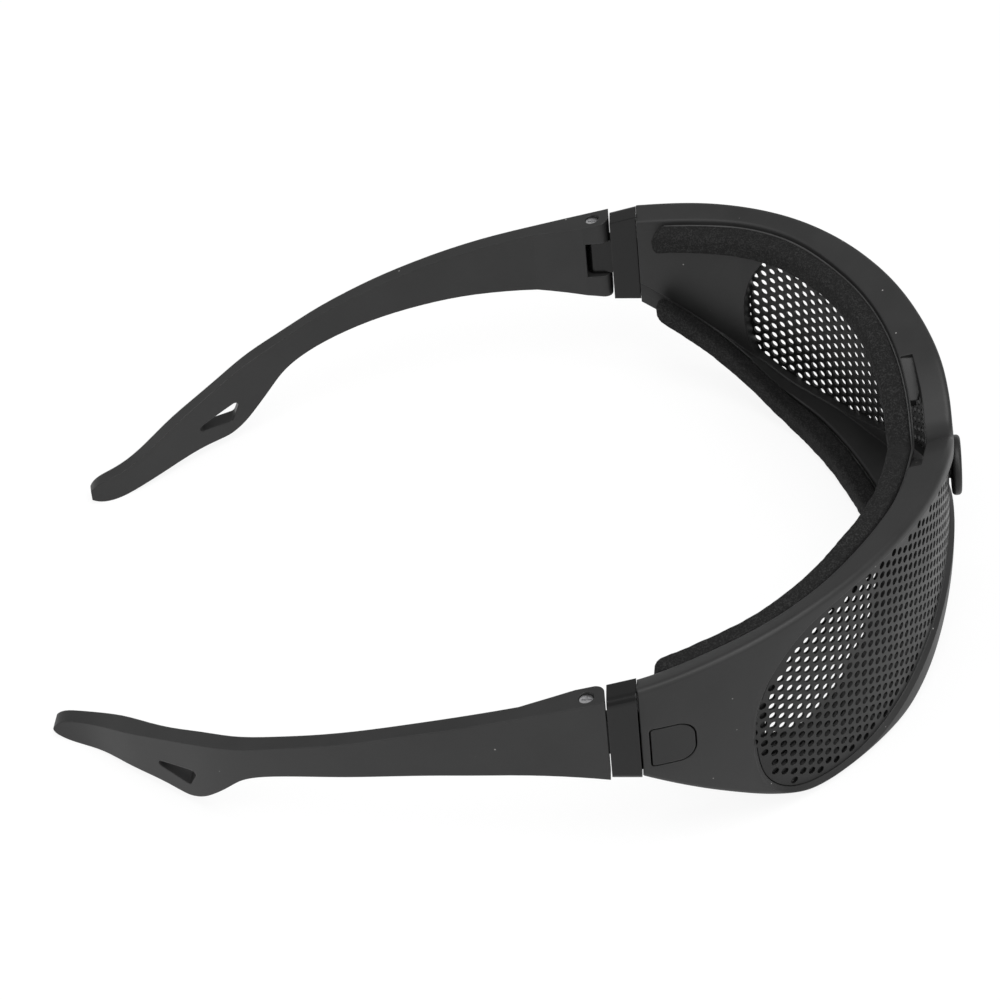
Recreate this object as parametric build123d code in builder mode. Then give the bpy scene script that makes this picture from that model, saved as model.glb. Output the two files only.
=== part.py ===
"""Wrap-around safety goggles with a perforated steel shield.

The goggles stand open on their lower rim and on the tips of their temples, with the floor at zero.
The front faces -Y, +X is the wearer's left, and the middle of the box is over the origin.
"""
from build123d import *
import os
from math import asin, ceil, cos, degrees, floor, radians, sin, sqrt

os.makedirs("parts", exist_ok=True)

# Whole goggles
overall_length = 182.0
brow_height = 48.0
cut_overrun = 30.0

# Wrap of the front: a round outer wall about an upright axis, and a flatter oval inner edge
wrap_radius = 76.0
side_depth = 4.7
brow_depth = 8.6
hinge_ahead_of_wrap = 4.3
hinge_inset = 3.0

# Hinge block and the gaps between frame, block and temple
hinge_front_reach = 3.4
parting_gap = 0.3
block_length = 5.6
block_inner_inset = 5.6
block_outer_inset = 0.6
hinge_bottom_drop = 27.7
hinge_top_rear_drop = 7.7
hinge_top_front_drop = 6.3

# Walls of the frame
shelf_thickness = 2.6
flange_thickness = 1.8
upper_flange_height = 9.0
lower_flange_height = 5.2
wall_thickness = 3.4
wall_taper_start_angle = 57.0
wall_taper_end_angle = 73.0
wall_taper_inset = 2.4
arch_height = 17.0
block_edge_round = 1.6

# Steel shield, its seat and the windows behind it
shield_recess = 1.0
shield_gauge = 0.6
seat_clearance = 0.05
shield_edge_clearance = 0.15
window_ledge = 2.4
lower_ledge = 7.5
nose_post_half_width = 4.6
shield_tab_height = 11.0
shield_tab_middle_drop = 24.0
shield_tab_start_angle = 57.0
shield_tab_end_angle = 64.0
tab_clearance = 0.1
hole_diameter = 3.0
hole_pitch = 4.84
hole_margin = 0.7

# Button that holds the shield to the nose post
shield_button_diameter = 12.0
shield_button_thickness = 1.9
shield_button_stand = 1.4
shield_button_middle_drop = 18.3
shield_button_round = 0.75
button_collar_radius = 2.6
button_stem_radius = 1.4
stem_clearance = 0.1
washer_radius = 3.3
washer_thickness = 0.5
washer_grip = 0.02
stem_tail = 0.8

# Vent scoop in the middle of the brow
vent_length = 34.0
vent_floor_length = 18.0
vent_width = 3.6
vent_ramp_depth = 1.9
vent_lip = 0.5

# Foam strips and the tapes that hold them
foam_thickness = 4.6
tape_thickness = 0.3
upper_foam_height = 9.6
lower_foam_height = 6.2
foam_top_drop = 0.5
foam_end_round = 2.0
foam_rear_gap = 4.2
tape_edge_gap = 0.8

# Release button, its window, the plug of the hinge block and the leaf spring
button_angle = 74.9
button_middle_drop = 20.7
button_width = 8.4
button_height = 9.0
button_front_round = 3.3
button_rear_round = 0.5
button_flange = 0.4
button_flange_thickness = 0.6
button_skin = 1.35
button_window_gap = 0.35
plug_thickness = 2.9
plug_wall = 0.95
plug_floor = 0.5
plug_clearance = 0.1
flange_clearance = 0.15
block_plug_overlap = 2.4
spring_gauge = 0.25
spring_width = 4.0
spring_half_span = 4.1
spring_clearance = 0.03

# Hinge: tongue on the block, ears on the temple, screw and threaded insert
tongue_radius = 1.5
tongue_bottom_drop = 21.5
tongue_height = 8.4
ear_gap = 0.2
tongue_clearance = 0.12
ear_front_round = 2.2
screw_radius = 0.7
screw_running_clearance = 0.05
screw_head_radius = 1.35
screw_head_height = 0.9
screw_head_clearance = 0.12
screw_top_drop = 8.8
screw_slot_width = 0.4
screw_slot_depth = 0.35
insert_radius = 1.25
insert_height = 3.2
insert_bottom_drop = 26.1
insert_grip = 0.02

# Temple
temple_thickness = 3.2

# Places worked out from the sizes
front_y = -overall_length / 2
rear_y = overall_length / 2
wrap_y = front_y + shield_button_stand + wrap_radius
wrap_front_y = wrap_y - wrap_radius
hinge_y = wrap_y - hinge_ahead_of_wrap
temple_front_y = hinge_y - hinge_front_reach
block_rear_y = temple_front_y - parting_gap
block_front_y = block_rear_y - block_length
frame_rear_y = block_front_y - parting_gap
frame_depth = frame_rear_y - wrap_front_y
temple_length = rear_y - hinge_y
shield_outer_radius = wrap_radius - shield_recess
shield_inner_radius = shield_outer_radius - shield_gauge
seat_radius = shield_inner_radius - seat_clearance
room_radius = wrap_radius - wall_thickness
inner_half_width = wrap_radius - side_depth
inner_depth = wrap_radius - brow_depth
hinge_half_spacing = wrap_radius - hinge_inset
hinge_inner_half_width = wrap_radius - block_inner_inset
hinge_outer_half_width = wrap_radius - block_outer_inset
hinge_bottom = brow_height - hinge_bottom_drop
hinge_top_rear = brow_height - hinge_top_rear_drop
hinge_top_front = brow_height - hinge_top_front_drop
tongue_bottom = brow_height - tongue_bottom_drop
tongue_top = tongue_bottom + tongue_height
screw_top = brow_height - screw_top_drop
insert_bottom = brow_height - insert_bottom_drop
button_middle_height = brow_height - button_middle_drop
shield_button_middle = brow_height - shield_button_middle_drop
shield_tab_middle = brow_height - shield_tab_middle_drop


def wrap_plane(angle, radius):
    """Upright plane that touches the wrap at an angle from its front; its x axis runs rearward."""
    across = sin(radians(angle))
    ahead = cos(radians(angle))
    origin = (radius * across, wrap_y - radius * ahead, 0)
    return Plane(origin=origin, x_dir=(ahead, across, 0), z_dir=(across, -ahead, 0))


def side_points(shares):
    """Points of a side view: shares of the frame's depth from its rear end, and of the brow's height."""
    return [(frame_rear_y - along * frame_depth, up * brow_height) for along, up in shares]


def front_points(shares, height):
    """Points of a front view: shares of the wrap's radius from the middle, and of a height."""
    right = [(across * wrap_radius, up * height) for across, up in shares]
    left = [(-x, z) for x, z in reversed(right) if x > 0]
    return left + right


front_plane = Plane(origin=(0, wrap_front_y, 0), x_dir=(1, 0, 0), z_dir=(0, -1, 0))
reach = overall_length + cut_overrun

# Space above the brow: the side view's top line, and the dip over the nose that slopes forward
brow_line_shares = [
    (-0.30, 0.80), (0.0, 0.862), (0.27, 0.927), (0.54, 0.978), (0.76, 1.0), (0.90, 0.978), (1.04, 0.925)
]
brow_dip_shares = [(0.0, 0.796), (0.12, 0.829), (0.24, 0.865), (0.36, 0.895), (0.54, 0.97), (0.90, 1.35)]
brow_dip_slope = 36.5

with BuildPart() as above_brow:
    with BuildSketch(Plane.YZ) as over_side_line:
        with BuildLine() as side_line:
            brow_line = Spline(*side_points(brow_line_shares))
            Polyline(
                brow_line @ 1,
                ((brow_line @ 1).X, brow_height + cut_overrun),
                ((brow_line @ 0).X, brow_height + cut_overrun),
                brow_line @ 0,
            )
        make_face()
    extrude(amount=reach, both=True)
    with BuildSketch(front_plane) as over_dip_line:
        with BuildLine() as dip_line:
            dip = Spline(*front_points(brow_dip_shares, brow_height))
            Polyline(
                dip @ 1,
                ((dip @ 1).X, 2 * brow_height),
                ((dip @ 0).X, 2 * brow_height),
                dip @ 0,
            )
        make_face()
    rise = radians(brow_dip_slope)
    extrude(amount=cut_overrun, dir=(0, cos(rise), sin(rise)))
    extrude(over_dip_line.sketch, amount=cut_overrun / 3, dir=(0, -cos(rise), -sin(rise)))

# Space below the lower rim: the side view's bottom line, and the wide arch over the nose
rim_line_shares = [
    (-0.30, 0.64), (0.0, 0.408), (0.25, 0.208), (0.40, 0.083), (0.49, 0.022), (0.58, 0.0)
]
arch_shares = [(0.0, 1.0), (0.10, 0.945), (0.21, 0.765), (0.34, 0.50), (0.46, 0.255), (0.58, 0.05), (0.66, 0.0)]

with BuildPart() as below_rim:
    with BuildSketch(Plane.YZ) as under_side_line:
        with BuildLine() as bottom_line:
            rim_line = Spline(*side_points(rim_line_shares), tangents=[(-1, -1), (-1, 0)])
            Polyline(
                rim_line @ 1,
                (wrap_front_y - cut_overrun, 0),
                (wrap_front_y - cut_overrun, -cut_overrun),
                ((rim_line @ 0).X, -cut_overrun),
                rim_line @ 0,
            )
        make_face()
    extrude(amount=reach, both=True)
    with BuildSketch(front_plane) as under_arch:
        with BuildLine() as arch_line:
            arch = Spline(*front_points(arch_shares, arch_height), tangents=[(1, 0), (1, 0)])
            Polyline(
                arch @ 1,
                ((arch @ 1).X, -cut_overrun),
                ((arch @ 0).X, -cut_overrun),
                arch @ 0,
            )
        make_face()
    extrude(amount=-frame_depth / 2)
    extrude(under_arch.sketch, amount=cut_overrun)

# Outline of the steel shield's seat, one half, seen along a line turned a little to the side
seat_view_angle = 22.0
seat_plane = Plane(
    origin=(0, wrap_y, 0),
    x_dir=(cos(radians(seat_view_angle)), sin(radians(seat_view_angle)), 0),
    z_dir=(sin(radians(seat_view_angle)), -cos(radians(seat_view_angle)), 0),
)
seat_angles_and_height_shares = [
    (0.0, 0.777), (7.0, 0.812), (14.0, 0.872), (21.0, 0.922), (30.0, 0.957), (39.0, 0.966), (47.0, 0.945),
    (52.5, 0.895), (56.5, 0.80), (59.5, 0.67), (61.2, 0.50), (61.0, 0.32), (59.5, 0.185), (56.0, 0.090),
    (50.0, 0.050), (42.0, 0.058), (34.0, 0.105), (26.0, 0.178), (18.0, 0.268), (9.0, 0.365), (0.0, 0.408),
]
seat_overlap_angle = -3.0


def seat_point(angle, height):
    """Place of a point of the shield in the seat's view."""
    return (shield_outer_radius * sin(radians(angle - seat_view_angle)), height)


seat_curve_points = [seat_point(a, h * brow_height) for a, h in seat_angles_and_height_shares]
inset_steps = 28


def shield_outline(inset):
    """Half outline of the shield's seat, drawn in by an inset, with level ends past the middle."""
    with BuildSketch() as outline:
        with BuildLine():
            with BuildLine(mode=Mode.PRIVATE):
                seat_curve = Spline(*seat_curve_points, tangents=[(1, 0), (-1, 0)])
            drawn_in = [
                seat_curve @ (step / inset_steps)
                + (seat_curve % (step / inset_steps)).rotate(Axis.Z, -90) * inset
                for step in range(inset_steps + 1)
            ]
            curve = Spline(*drawn_in, tangents=[(1, 0), (-1, 0)])
            overlap_x = seat_point(seat_overlap_angle, 0)[0]
            Polyline(
                curve @ 1,
                (overlap_x, (curve @ 1).Y),
                (overlap_x, (curve @ 0).Y),
                curve @ 0,
            )
        make_face()
    return outline.sketch


# Slot beyond the seat's rear end that takes the shield's end tab
tab_start = seat_point(shield_tab_start_angle, 0)[0]
tab_end = seat_point(shield_tab_end_angle, 0)[0]

with BuildPart() as seat_cutter:
    with BuildSketch(seat_plane):
        with Locations((tab_start, shield_tab_middle)):
            Rectangle(
                tab_end - tab_start + tab_clearance,
                shield_tab_height + 2 * tab_clearance,
                align=(Align.MIN, Align.CENTER),
            )
    extrude(amount=wrap_radius + cut_overrun)
    with Locations((0, wrap_y, brow_height / 2)):
        Cylinder(shield_outer_radius + tab_clearance, 2 * brow_height, mode=Mode.INTERSECT)
    with BuildSketch(seat_plane):
        add(shield_outline(0))
    extrude(amount=wrap_radius + cut_overrun)
    mirror(about=Plane.YZ)
    with Locations((0, wrap_y, brow_height / 2)):
        Cylinder(seat_radius, 2 * brow_height, mode=Mode.SUBTRACT)

with BuildPart() as window_half:
    with BuildSketch(seat_plane) as window_outline:
        add(shield_outline(window_ledge))
        window_start = seat_point(degrees(asin(nose_post_half_width / wrap_radius)), 0)[0]
        with Locations((window_start, brow_height / 2)):
            Rectangle(
                2 * wrap_radius, 2 * brow_height, align=(Align.MIN, Align.CENTER), mode=Mode.INTERSECT
            )
    extrude(amount=wrap_radius + cut_overrun)
    with Locations((0, wrap_y, brow_height / 2)):
        Cylinder(room_radius - flange_thickness, 2 * brow_height, mode=Mode.SUBTRACT)
    with Locations((0, 0, lower_ledge)):
        add(below_rim.part, mode=Mode.SUBTRACT)

# Rooms behind the wall: between the flanges it is open, and a groove runs behind each flange
taper_end_x = (inner_half_width - wall_taper_inset) * sin(radians(wall_taper_end_angle))
taper_end_y = wrap_y - inner_depth * cos(radians(wall_taper_end_angle))
taper_start_x = room_radius * sin(radians(wall_taper_start_angle))
taper_start_y = wrap_y - room_radius * cos(radians(wall_taper_start_angle))

with BuildPart() as middle_room:
    with BuildSketch() as middle_room_plan:
        with BuildLine():
            RadiusArc((-taper_start_x, taper_start_y), (taper_start_x, taper_start_y), -room_radius)
            Polyline(
                (taper_start_x, taper_start_y),
                (taper_end_x, taper_end_y),
                (0, wrap_y),
                (-taper_end_x, taper_end_y),
                (-taper_start_x, taper_start_y),
            )
        make_face()
    extrude(amount=brow_height)
    with Locations((0, 0, -upper_flange_height)):
        add(above_brow.part, mode=Mode.SUBTRACT)
    with Locations((0, 0, lower_flange_height)):
        add(below_rim.part, mode=Mode.SUBTRACT)

with BuildPart() as flange_grooves:
    with BuildSketch() as groove_plan:
        with Locations((0, wrap_y)):
            Circle(room_radius)
            Ellipse(
                inner_half_width + flange_thickness, inner_depth + flange_thickness, mode=Mode.SUBTRACT
            )
        with Locations((0, taper_start_y)):
            Rectangle(reach, reach, align=(Align.CENTER, Align.MIN), mode=Mode.SUBTRACT)
    extrude(amount=brow_height)
    with Locations((0, 0, -shelf_thickness)):
        add(above_brow.part, mode=Mode.SUBTRACT)
    with Locations((0, 0, shelf_thickness)):
        add(below_rim.part, mode=Mode.SUBTRACT)

# Plug of the hinge block, seen square to the wall at the release button
button_plane = wrap_plane(button_angle, wrap_radius)
plug_front = -(button_width / 2 + button_flange + flange_clearance + plug_wall)
plug_rear = (block_front_y - button_plane.origin.Y) / sin(radians(button_angle)) + block_plug_overlap
plug_height = button_height + 2 * (button_flange + flange_clearance + plug_wall)
plug_outer_depth = -button_skin
plug_inner_depth = plug_outer_depth - plug_thickness
pocket_floor_depth = plug_inner_depth + plug_floor

with BuildPart() as plug_socket:
    with BuildSketch(button_plane.offset(plug_inner_depth - plug_clearance)):
        with Locations((plug_front - plug_clearance, button_middle_height)):
            Rectangle(
                plug_rear - plug_front + cut_overrun,
                plug_height + 2 * plug_clearance,
                align=(Align.MIN, Align.CENTER),
            )
    extrude(amount=plug_thickness + 2 * plug_clearance)


def button_outline(growth):
    """Outline of the D-shaped button: a straight rear edge and a round front, grown by an amount."""
    with BuildSketch() as outline:
        with Locations((0, button_middle_height)):
            Rectangle(button_width + 2 * growth, button_height + 2 * growth)
        fillet(outline.vertices().group_by(Axis.X)[0], button_front_round + growth)
        fillet(outline.vertices().sort_by(Axis.X)[-2:], button_rear_round + growth)
    return outline.sketch


with BuildPart() as button_window:
    with BuildSketch(button_plane.offset(plug_outer_depth - plug_clearance)):
        add(button_outline(button_window_gap))
    extrude(amount=cut_overrun)

# Frame: one moulding with brow shelf, side shields, lower rim, nose arch and nose post
with BuildPart() as frame:
    with BuildSketch() as band:
        with Locations((0, wrap_y)):
            Circle(wrap_radius)
            Ellipse(inner_half_width, inner_depth, mode=Mode.SUBTRACT)
        with Locations((0, frame_rear_y)):
            Rectangle(reach, reach, align=(Align.CENTER, Align.MIN), mode=Mode.SUBTRACT)
    extrude(amount=brow_height)
    add(above_brow.part, mode=Mode.SUBTRACT)
    add(below_rim.part, mode=Mode.SUBTRACT)
    add(middle_room.part, mode=Mode.SUBTRACT)
    add(flange_grooves.part, mode=Mode.SUBTRACT)
    add(seat_cutter.part, mode=Mode.SUBTRACT)
    add(window_half.part, mode=Mode.SUBTRACT)
    mirror(window_half.part, about=Plane.YZ, mode=Mode.SUBTRACT)
    add(plug_socket.part, mode=Mode.SUBTRACT)
    mirror(plug_socket.part, about=Plane.YZ, mode=Mode.SUBTRACT)
    add(button_window.part, mode=Mode.SUBTRACT)
    mirror(button_window.part, about=Plane.YZ, mode=Mode.SUBTRACT)
    # hole in the nose post for the button's stem
    with Locations(Location((0, wrap_front_y, shield_button_middle), (90, 0, 0))):
        Cylinder(button_stem_radius + stem_clearance, 2 * wall_thickness + flange_thickness, mode=Mode.SUBTRACT)
    # vent scoop: a long dish in the brow with a slot through its floor, against the foam's edge
    vent_top = brow_dip_shares[0][1] * brow_height + (wrap_radius - inner_depth) * sin(rise) / cos(rise)
    vent_y = wrap_y - inner_depth - vent_lip
    with BuildSketch(Plane(origin=(0, vent_y, 0), x_dir=(1, 0, 0), z_dir=(0, -1, 0))):
        with BuildLine():
            Polyline(
                (-vent_length / 2, vent_top + shelf_thickness),
                (-vent_length / 2, vent_top - vent_ramp_depth / 2),
                (-vent_floor_length / 2, vent_top - vent_ramp_depth * 2),
                (-vent_floor_length / 2, vent_top - upper_flange_height),
                (vent_floor_length / 2, vent_top - upper_flange_height),
                (vent_floor_length / 2, vent_top - vent_ramp_depth * 2),
                (vent_length / 2, vent_top - vent_ramp_depth / 2),
                (vent_length / 2, vent_top + shelf_thickness),
                close=True,
            )
        make_face()
    extrude(amount=vent_width, mode=Mode.SUBTRACT)

frame.part.label = "frame"
export_step(frame.part, "parts/frame.step")

# Perforated steel shield with its end tabs and the hole for the button's stem
hole_row_pitch = hole_pitch * sqrt(3) / 2
shield_places = []
columns = floor(radians(seat_angles_and_height_shares[10][0]) * shield_outer_radius / hole_row_pitch)
hole_limit_face = shield_outline(hole_margin + hole_diameter / 2).faces()[0]
for column in range(columns + 1):
    angle = degrees(column * hole_row_pitch / shield_outer_radius)
    rows = ceil(brow_height / hole_pitch)
    for row in range(-rows, rows + 1):
        height = shield_button_middle + (row + 0.5 * (column % 2)) * hole_pitch
        place = seat_point(angle, height)
        near_stem = column < 2 and abs(height - shield_button_middle) < hole_pitch
        if hole_limit_face.is_inside((place[0], place[1], 0)) and not near_stem:
            across = sin(radians(angle))
            ahead = cos(radians(angle))
            spot = (shield_outer_radius * across, wrap_y - shield_outer_radius * ahead, height)
            shield_places.append(Plane(origin=spot, x_dir=(0, 0, 1), z_dir=(across, -ahead, 0)))

with BuildPart() as mesh_shield:
    with BuildSketch(seat_plane):
        add(shield_outline(shield_edge_clearance))
        with Locations((tab_start, shield_tab_middle)):
            Rectangle(tab_end - tab_start, shield_tab_height, align=(Align.MIN, Align.CENTER))
    extrude(amount=wrap_radius + cut_overrun)
    with BuildSketch():
        with Locations((0, wrap_y)):
            Circle(shield_outer_radius)
            Circle(shield_inner_radius, mode=Mode.SUBTRACT)
            Rectangle(reach, reach, align=(Align.MIN, Align.MAX), mode=Mode.INTERSECT)
    extrude(amount=brow_height, mode=Mode.INTERSECT)
    with Locations(Location((0, wrap_front_y, shield_button_middle), (90, 0, 0))):
        Cylinder(button_stem_radius + stem_clearance, 2 * wall_thickness, mode=Mode.SUBTRACT)
    with Locations(*shield_places):
        Cylinder(hole_diameter / 2, 4 * shield_gauge, mode=Mode.SUBTRACT)
    mirror(about=Plane.YZ)
mesh_shield.part.label = "mesh_shield"
export_step(mesh_shield.part, "parts/mesh_shield.step")

# Button at the middle of the shield: a round-edged cap, a collar on the sheet and a stem
washer_front_y = wrap_y - sqrt(room_radius**2 - washer_radius**2)
cap_back_y = front_y + shield_button_thickness
collar_back_y = wrap_y - shield_outer_radius
stem_end_y = washer_front_y + washer_thickness + stem_tail

with BuildPart() as shield_button:
    with BuildSketch(Plane(origin=(0, cap_back_y, 0), x_dir=(1, 0, 0), z_dir=(0, -1, 0))):
        with Locations((0, shield_button_middle)):
            Circle(shield_button_diameter / 2)
    extrude(amount=shield_button_thickness)
    fillet(shield_button.edges().filter_by(GeomType.CIRCLE), shield_button_round)
    with BuildSketch(Plane(origin=(0, collar_back_y, 0), x_dir=(1, 0, 0), z_dir=(0, -1, 0))):
        with Locations((0, shield_button_middle)):
            Circle(button_collar_radius)
    extrude(amount=collar_back_y - cap_back_y + shield_button_thickness / 2)
    with BuildSketch(Plane(origin=(0, stem_end_y, 0), x_dir=(1, 0, 0), z_dir=(0, -1, 0))):
        with Locations((0, shield_button_middle)):
            Circle(button_stem_radius)
    extrude(amount=stem_end_y - cap_back_y + shield_button_thickness / 2)
shield_button.part.label = "shield_button"
export_step(shield_button.part, "parts/shield_button.step")

with BuildPart() as button_washer:
    with BuildSketch(Plane(origin=(0, washer_front_y, 0), x_dir=(1, 0, 0), z_dir=(0, 1, 0))):
        with Locations((0, -shield_button_middle)):
            Circle(washer_radius)
            Circle(button_stem_radius + washer_grip, mode=Mode.SUBTRACT)
    extrude(amount=washer_thickness)
button_washer.part.label = "button_washer"
export_step(button_washer.part, "parts/button_washer.step")


def strip_plan(outer_inset, inner_inset, rear_gap):
    """Plan of a strip that follows the flanges' inner face, between two insets from it."""
    with BuildSketch() as plan:
        with Locations((0, wrap_y)):
            Ellipse(inner_half_width - outer_inset, inner_depth - outer_inset)
            Ellipse(inner_half_width - inner_inset, inner_depth - inner_inset, mode=Mode.SUBTRACT)
        with Locations((0, frame_rear_y - rear_gap)):
            Rectangle(reach, reach, align=(Align.CENTER, Align.MIN), mode=Mode.SUBTRACT)
    return plan.sketch


foam_inset = tape_thickness + foam_thickness

# Tape and foam behind the brow
with BuildPart() as upper_foam_tape:
    extrude(strip_plan(0, tape_thickness, foam_rear_gap + foam_end_round), amount=brow_height)
    with Locations((0, 0, -tape_edge_gap)):
        add(above_brow.part, mode=Mode.SUBTRACT)
    with Locations((0, 0, tape_edge_gap - upper_flange_height)):
        add(above_brow.part, mode=Mode.INTERSECT)
upper_foam_tape.part.label = "upper_foam_tape"
export_step(upper_foam_tape.part, "parts/upper_foam_tape.step")

with BuildPart() as upper_foam:
    extrude(strip_plan(tape_thickness, foam_inset, foam_rear_gap), amount=brow_height)
    with Locations((0, 0, -foam_top_drop)):
        add(above_brow.part, mode=Mode.SUBTRACT)
    with Locations((0, 0, -foam_top_drop - upper_foam_height)):
        add(above_brow.part, mode=Mode.INTERSECT)
upper_foam.part.label = "upper_foam"
export_step(upper_foam.part, "parts/upper_foam.step")

# Tape and foam behind the lower rim and over the nose arch
with BuildPart() as lower_foam_tape:
    extrude(strip_plan(0, tape_thickness, foam_rear_gap + foam_end_round), amount=brow_height)
    with Locations((0, 0, tape_edge_gap)):
        add(below_rim.part, mode=Mode.SUBTRACT)
    with Locations((0, 0, lower_flange_height - tape_edge_gap)):
        add(below_rim.part, mode=Mode.INTERSECT)
lower_foam_tape.part.label = "lower_foam_tape"
export_step(lower_foam_tape.part, "parts/lower_foam_tape.step")

with BuildPart() as lower_foam:
    extrude(strip_plan(tape_thickness, foam_inset, foam_rear_gap), amount=brow_height)
    with Locations((0, 0, foam_top_drop)):
        add(below_rim.part, mode=Mode.SUBTRACT)
    with Locations((0, 0, lower_foam_height)):
        add(below_rim.part, mode=Mode.INTERSECT)
lower_foam.part.label = "lower_foam"
export_step(lower_foam.part, "parts/lower_foam.step")

# Hinge block, left: the body between frame and temple, the plug with its pocket, and the tongue
with BuildPart() as left_hinge_block:
    with BuildSketch(Plane.YZ.offset(hinge_inner_half_width)):
        with BuildLine():
            Polyline(
                (block_front_y, hinge_bottom - parting_gap),
                (block_rear_y, hinge_bottom),
                (block_rear_y, hinge_top_rear),
                (block_front_y, hinge_top_front),
                close=True,
            )
        make_face()
    extrude(amount=hinge_outer_half_width - hinge_inner_half_width)
    fillet(left_hinge_block.edges().filter_by(Axis.Z, reverse=True).group_by(Axis.X)[-1].filter_by(
        lambda edge: edge.center().Z > hinge_top_rear or edge.center().Z < hinge_bottom), block_edge_round)
    with BuildSketch(button_plane.offset(plug_inner_depth)):
        with Locations((plug_front, button_middle_height)):
            Rectangle(plug_rear - plug_front, plug_height, align=(Align.MIN, Align.CENTER))
    extrude(amount=plug_thickness)
    with BuildSketch(button_plane.offset(pocket_floor_depth)):
        add(button_outline(button_flange + flange_clearance))
    extrude(amount=plug_thickness, mode=Mode.SUBTRACT)
    with BuildSketch(Plane.XY.offset(tongue_bottom)):
        with Locations((hinge_half_spacing, hinge_y)):
            Circle(tongue_radius)
            Rectangle(
                2 * tongue_radius, hinge_y - block_rear_y + block_length / 2, align=(Align.CENTER, Align.MAX)
            )
    extrude(amount=tongue_top - tongue_bottom)
    with Locations((hinge_half_spacing, hinge_y, (tongue_bottom + tongue_top) / 2)):
        Cylinder(screw_radius + screw_running_clearance, tongue_top - tongue_bottom, mode=Mode.SUBTRACT)

# Release button, left: the face follows the frame's wall, and a flange sits under the window's edge
with BuildPart() as left_release_button:
    with BuildSketch(button_plane.offset(plug_outer_depth - plug_clearance)):
        add(button_outline(0))
    extrude(amount=cut_overrun)
    with Locations((0, wrap_y, brow_height / 2)):
        Cylinder(wrap_radius, 2 * brow_height, mode=Mode.INTERSECT)
    with BuildSketch(button_plane.offset(plug_outer_depth - plug_clearance - button_flange_thickness)):
        add(button_outline(button_flange))
    extrude(amount=button_flange_thickness)

# Leaf spring, left: a bow between the pocket's floor and the button's flange
flange_back_depth = plug_outer_depth - plug_clearance - button_flange_thickness
spring_foot = pocket_floor_depth + spring_clearance
spring_crest = flange_back_depth - spring_clearance
spring_plane = Plane(
    origin=button_plane.origin + Vector(0, 0, button_middle_height),
    x_dir=button_plane.x_dir,
    z_dir=(0, 0, -1),
)

with BuildPart() as left_button_spring:
    with BuildSketch(spring_plane):
        with BuildLine():
            ThreePointArc((-spring_half_span, spring_foot), (0, spring_crest), (spring_half_span, spring_foot))
            Line((spring_half_span, spring_foot), (spring_half_span - 3 * spring_gauge, spring_foot))
            ThreePointArc(
                (spring_half_span - 3 * spring_gauge, spring_foot),
                (0, spring_crest - spring_gauge),
                (-spring_half_span + 3 * spring_gauge, spring_foot),
            )
            Line((-spring_half_span + 3 * spring_gauge, spring_foot), (-spring_half_span, spring_foot))
        make_face()
    extrude(amount=spring_width / 2, both=True)

# Temple, left: side view cut to the plan view, then the hinge slot, ears and screw holes
temple_top_shares = [
    (-0.032, 0.845), (0.042, 0.808), (0.14, 0.762), (0.24, 0.712), (0.326, 0.662), (0.41, 0.605), (0.48, 0.555),
    (0.56, 0.492), (0.635, 0.425), (0.695, 0.378), (0.755, 0.318), (0.85, 0.222), (0.905, 0.160), (0.952, 0.122),
    (0.985, 0.095),
]
temple_bottom_shares = [
    (-0.032, 0.428), (0.042, 0.454), (0.12, 0.467), (0.19, 0.469), (0.27, 0.463), (0.35, 0.444), (0.425, 0.418),
    (0.50, 0.381), (0.55, 0.348), (0.59, 0.312),
]
bump_shares = [(0.625, 0.262), (0.655, 0.190), (0.680, 0.130), (0.705, 0.078), (0.730, 0.048)]
tip_shares = [(0.77, 0.046), (0.85, 0.036), (0.90, 0.018), (0.955, 0.0), (0.988, 0.018), (1.0, 0.055)]
temple_outer_shares = [
    (-0.04, 1.0), (0.05, 1.0), (0.13, 0.997), (0.20, 0.993), (0.275, 0.983), (0.35, 0.968), (0.425, 0.948),
    (0.50, 0.917), (0.595, 0.865), (0.685, 0.798), (0.77, 0.711), (0.85, 0.625), (0.92, 0.540), (0.965, 0.505),
    (1.0, 0.490),
]
temple_hole_shares = [(0.708, 0.212), (0.728, 0.110), (0.812, 0.146)]
temple_inner_shares = (0.14, 0.25, 0.36, 0.47, 0.58, 0.69, 0.80, 0.90, 1.0)
boss_length_share = 0.02
hole_corner_round = 0.8


def temple_side(shares):
    """Points of the temple's side view: shares of its length from the hinge, and of the brow's height."""
    return [(hinge_y + along * temple_length, up * brow_height) for along, up in shares]


temple_outer_points = [
    (across * hinge_outer_half_width, hinge_y + along * temple_length) for along, across in temple_outer_shares
]

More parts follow.
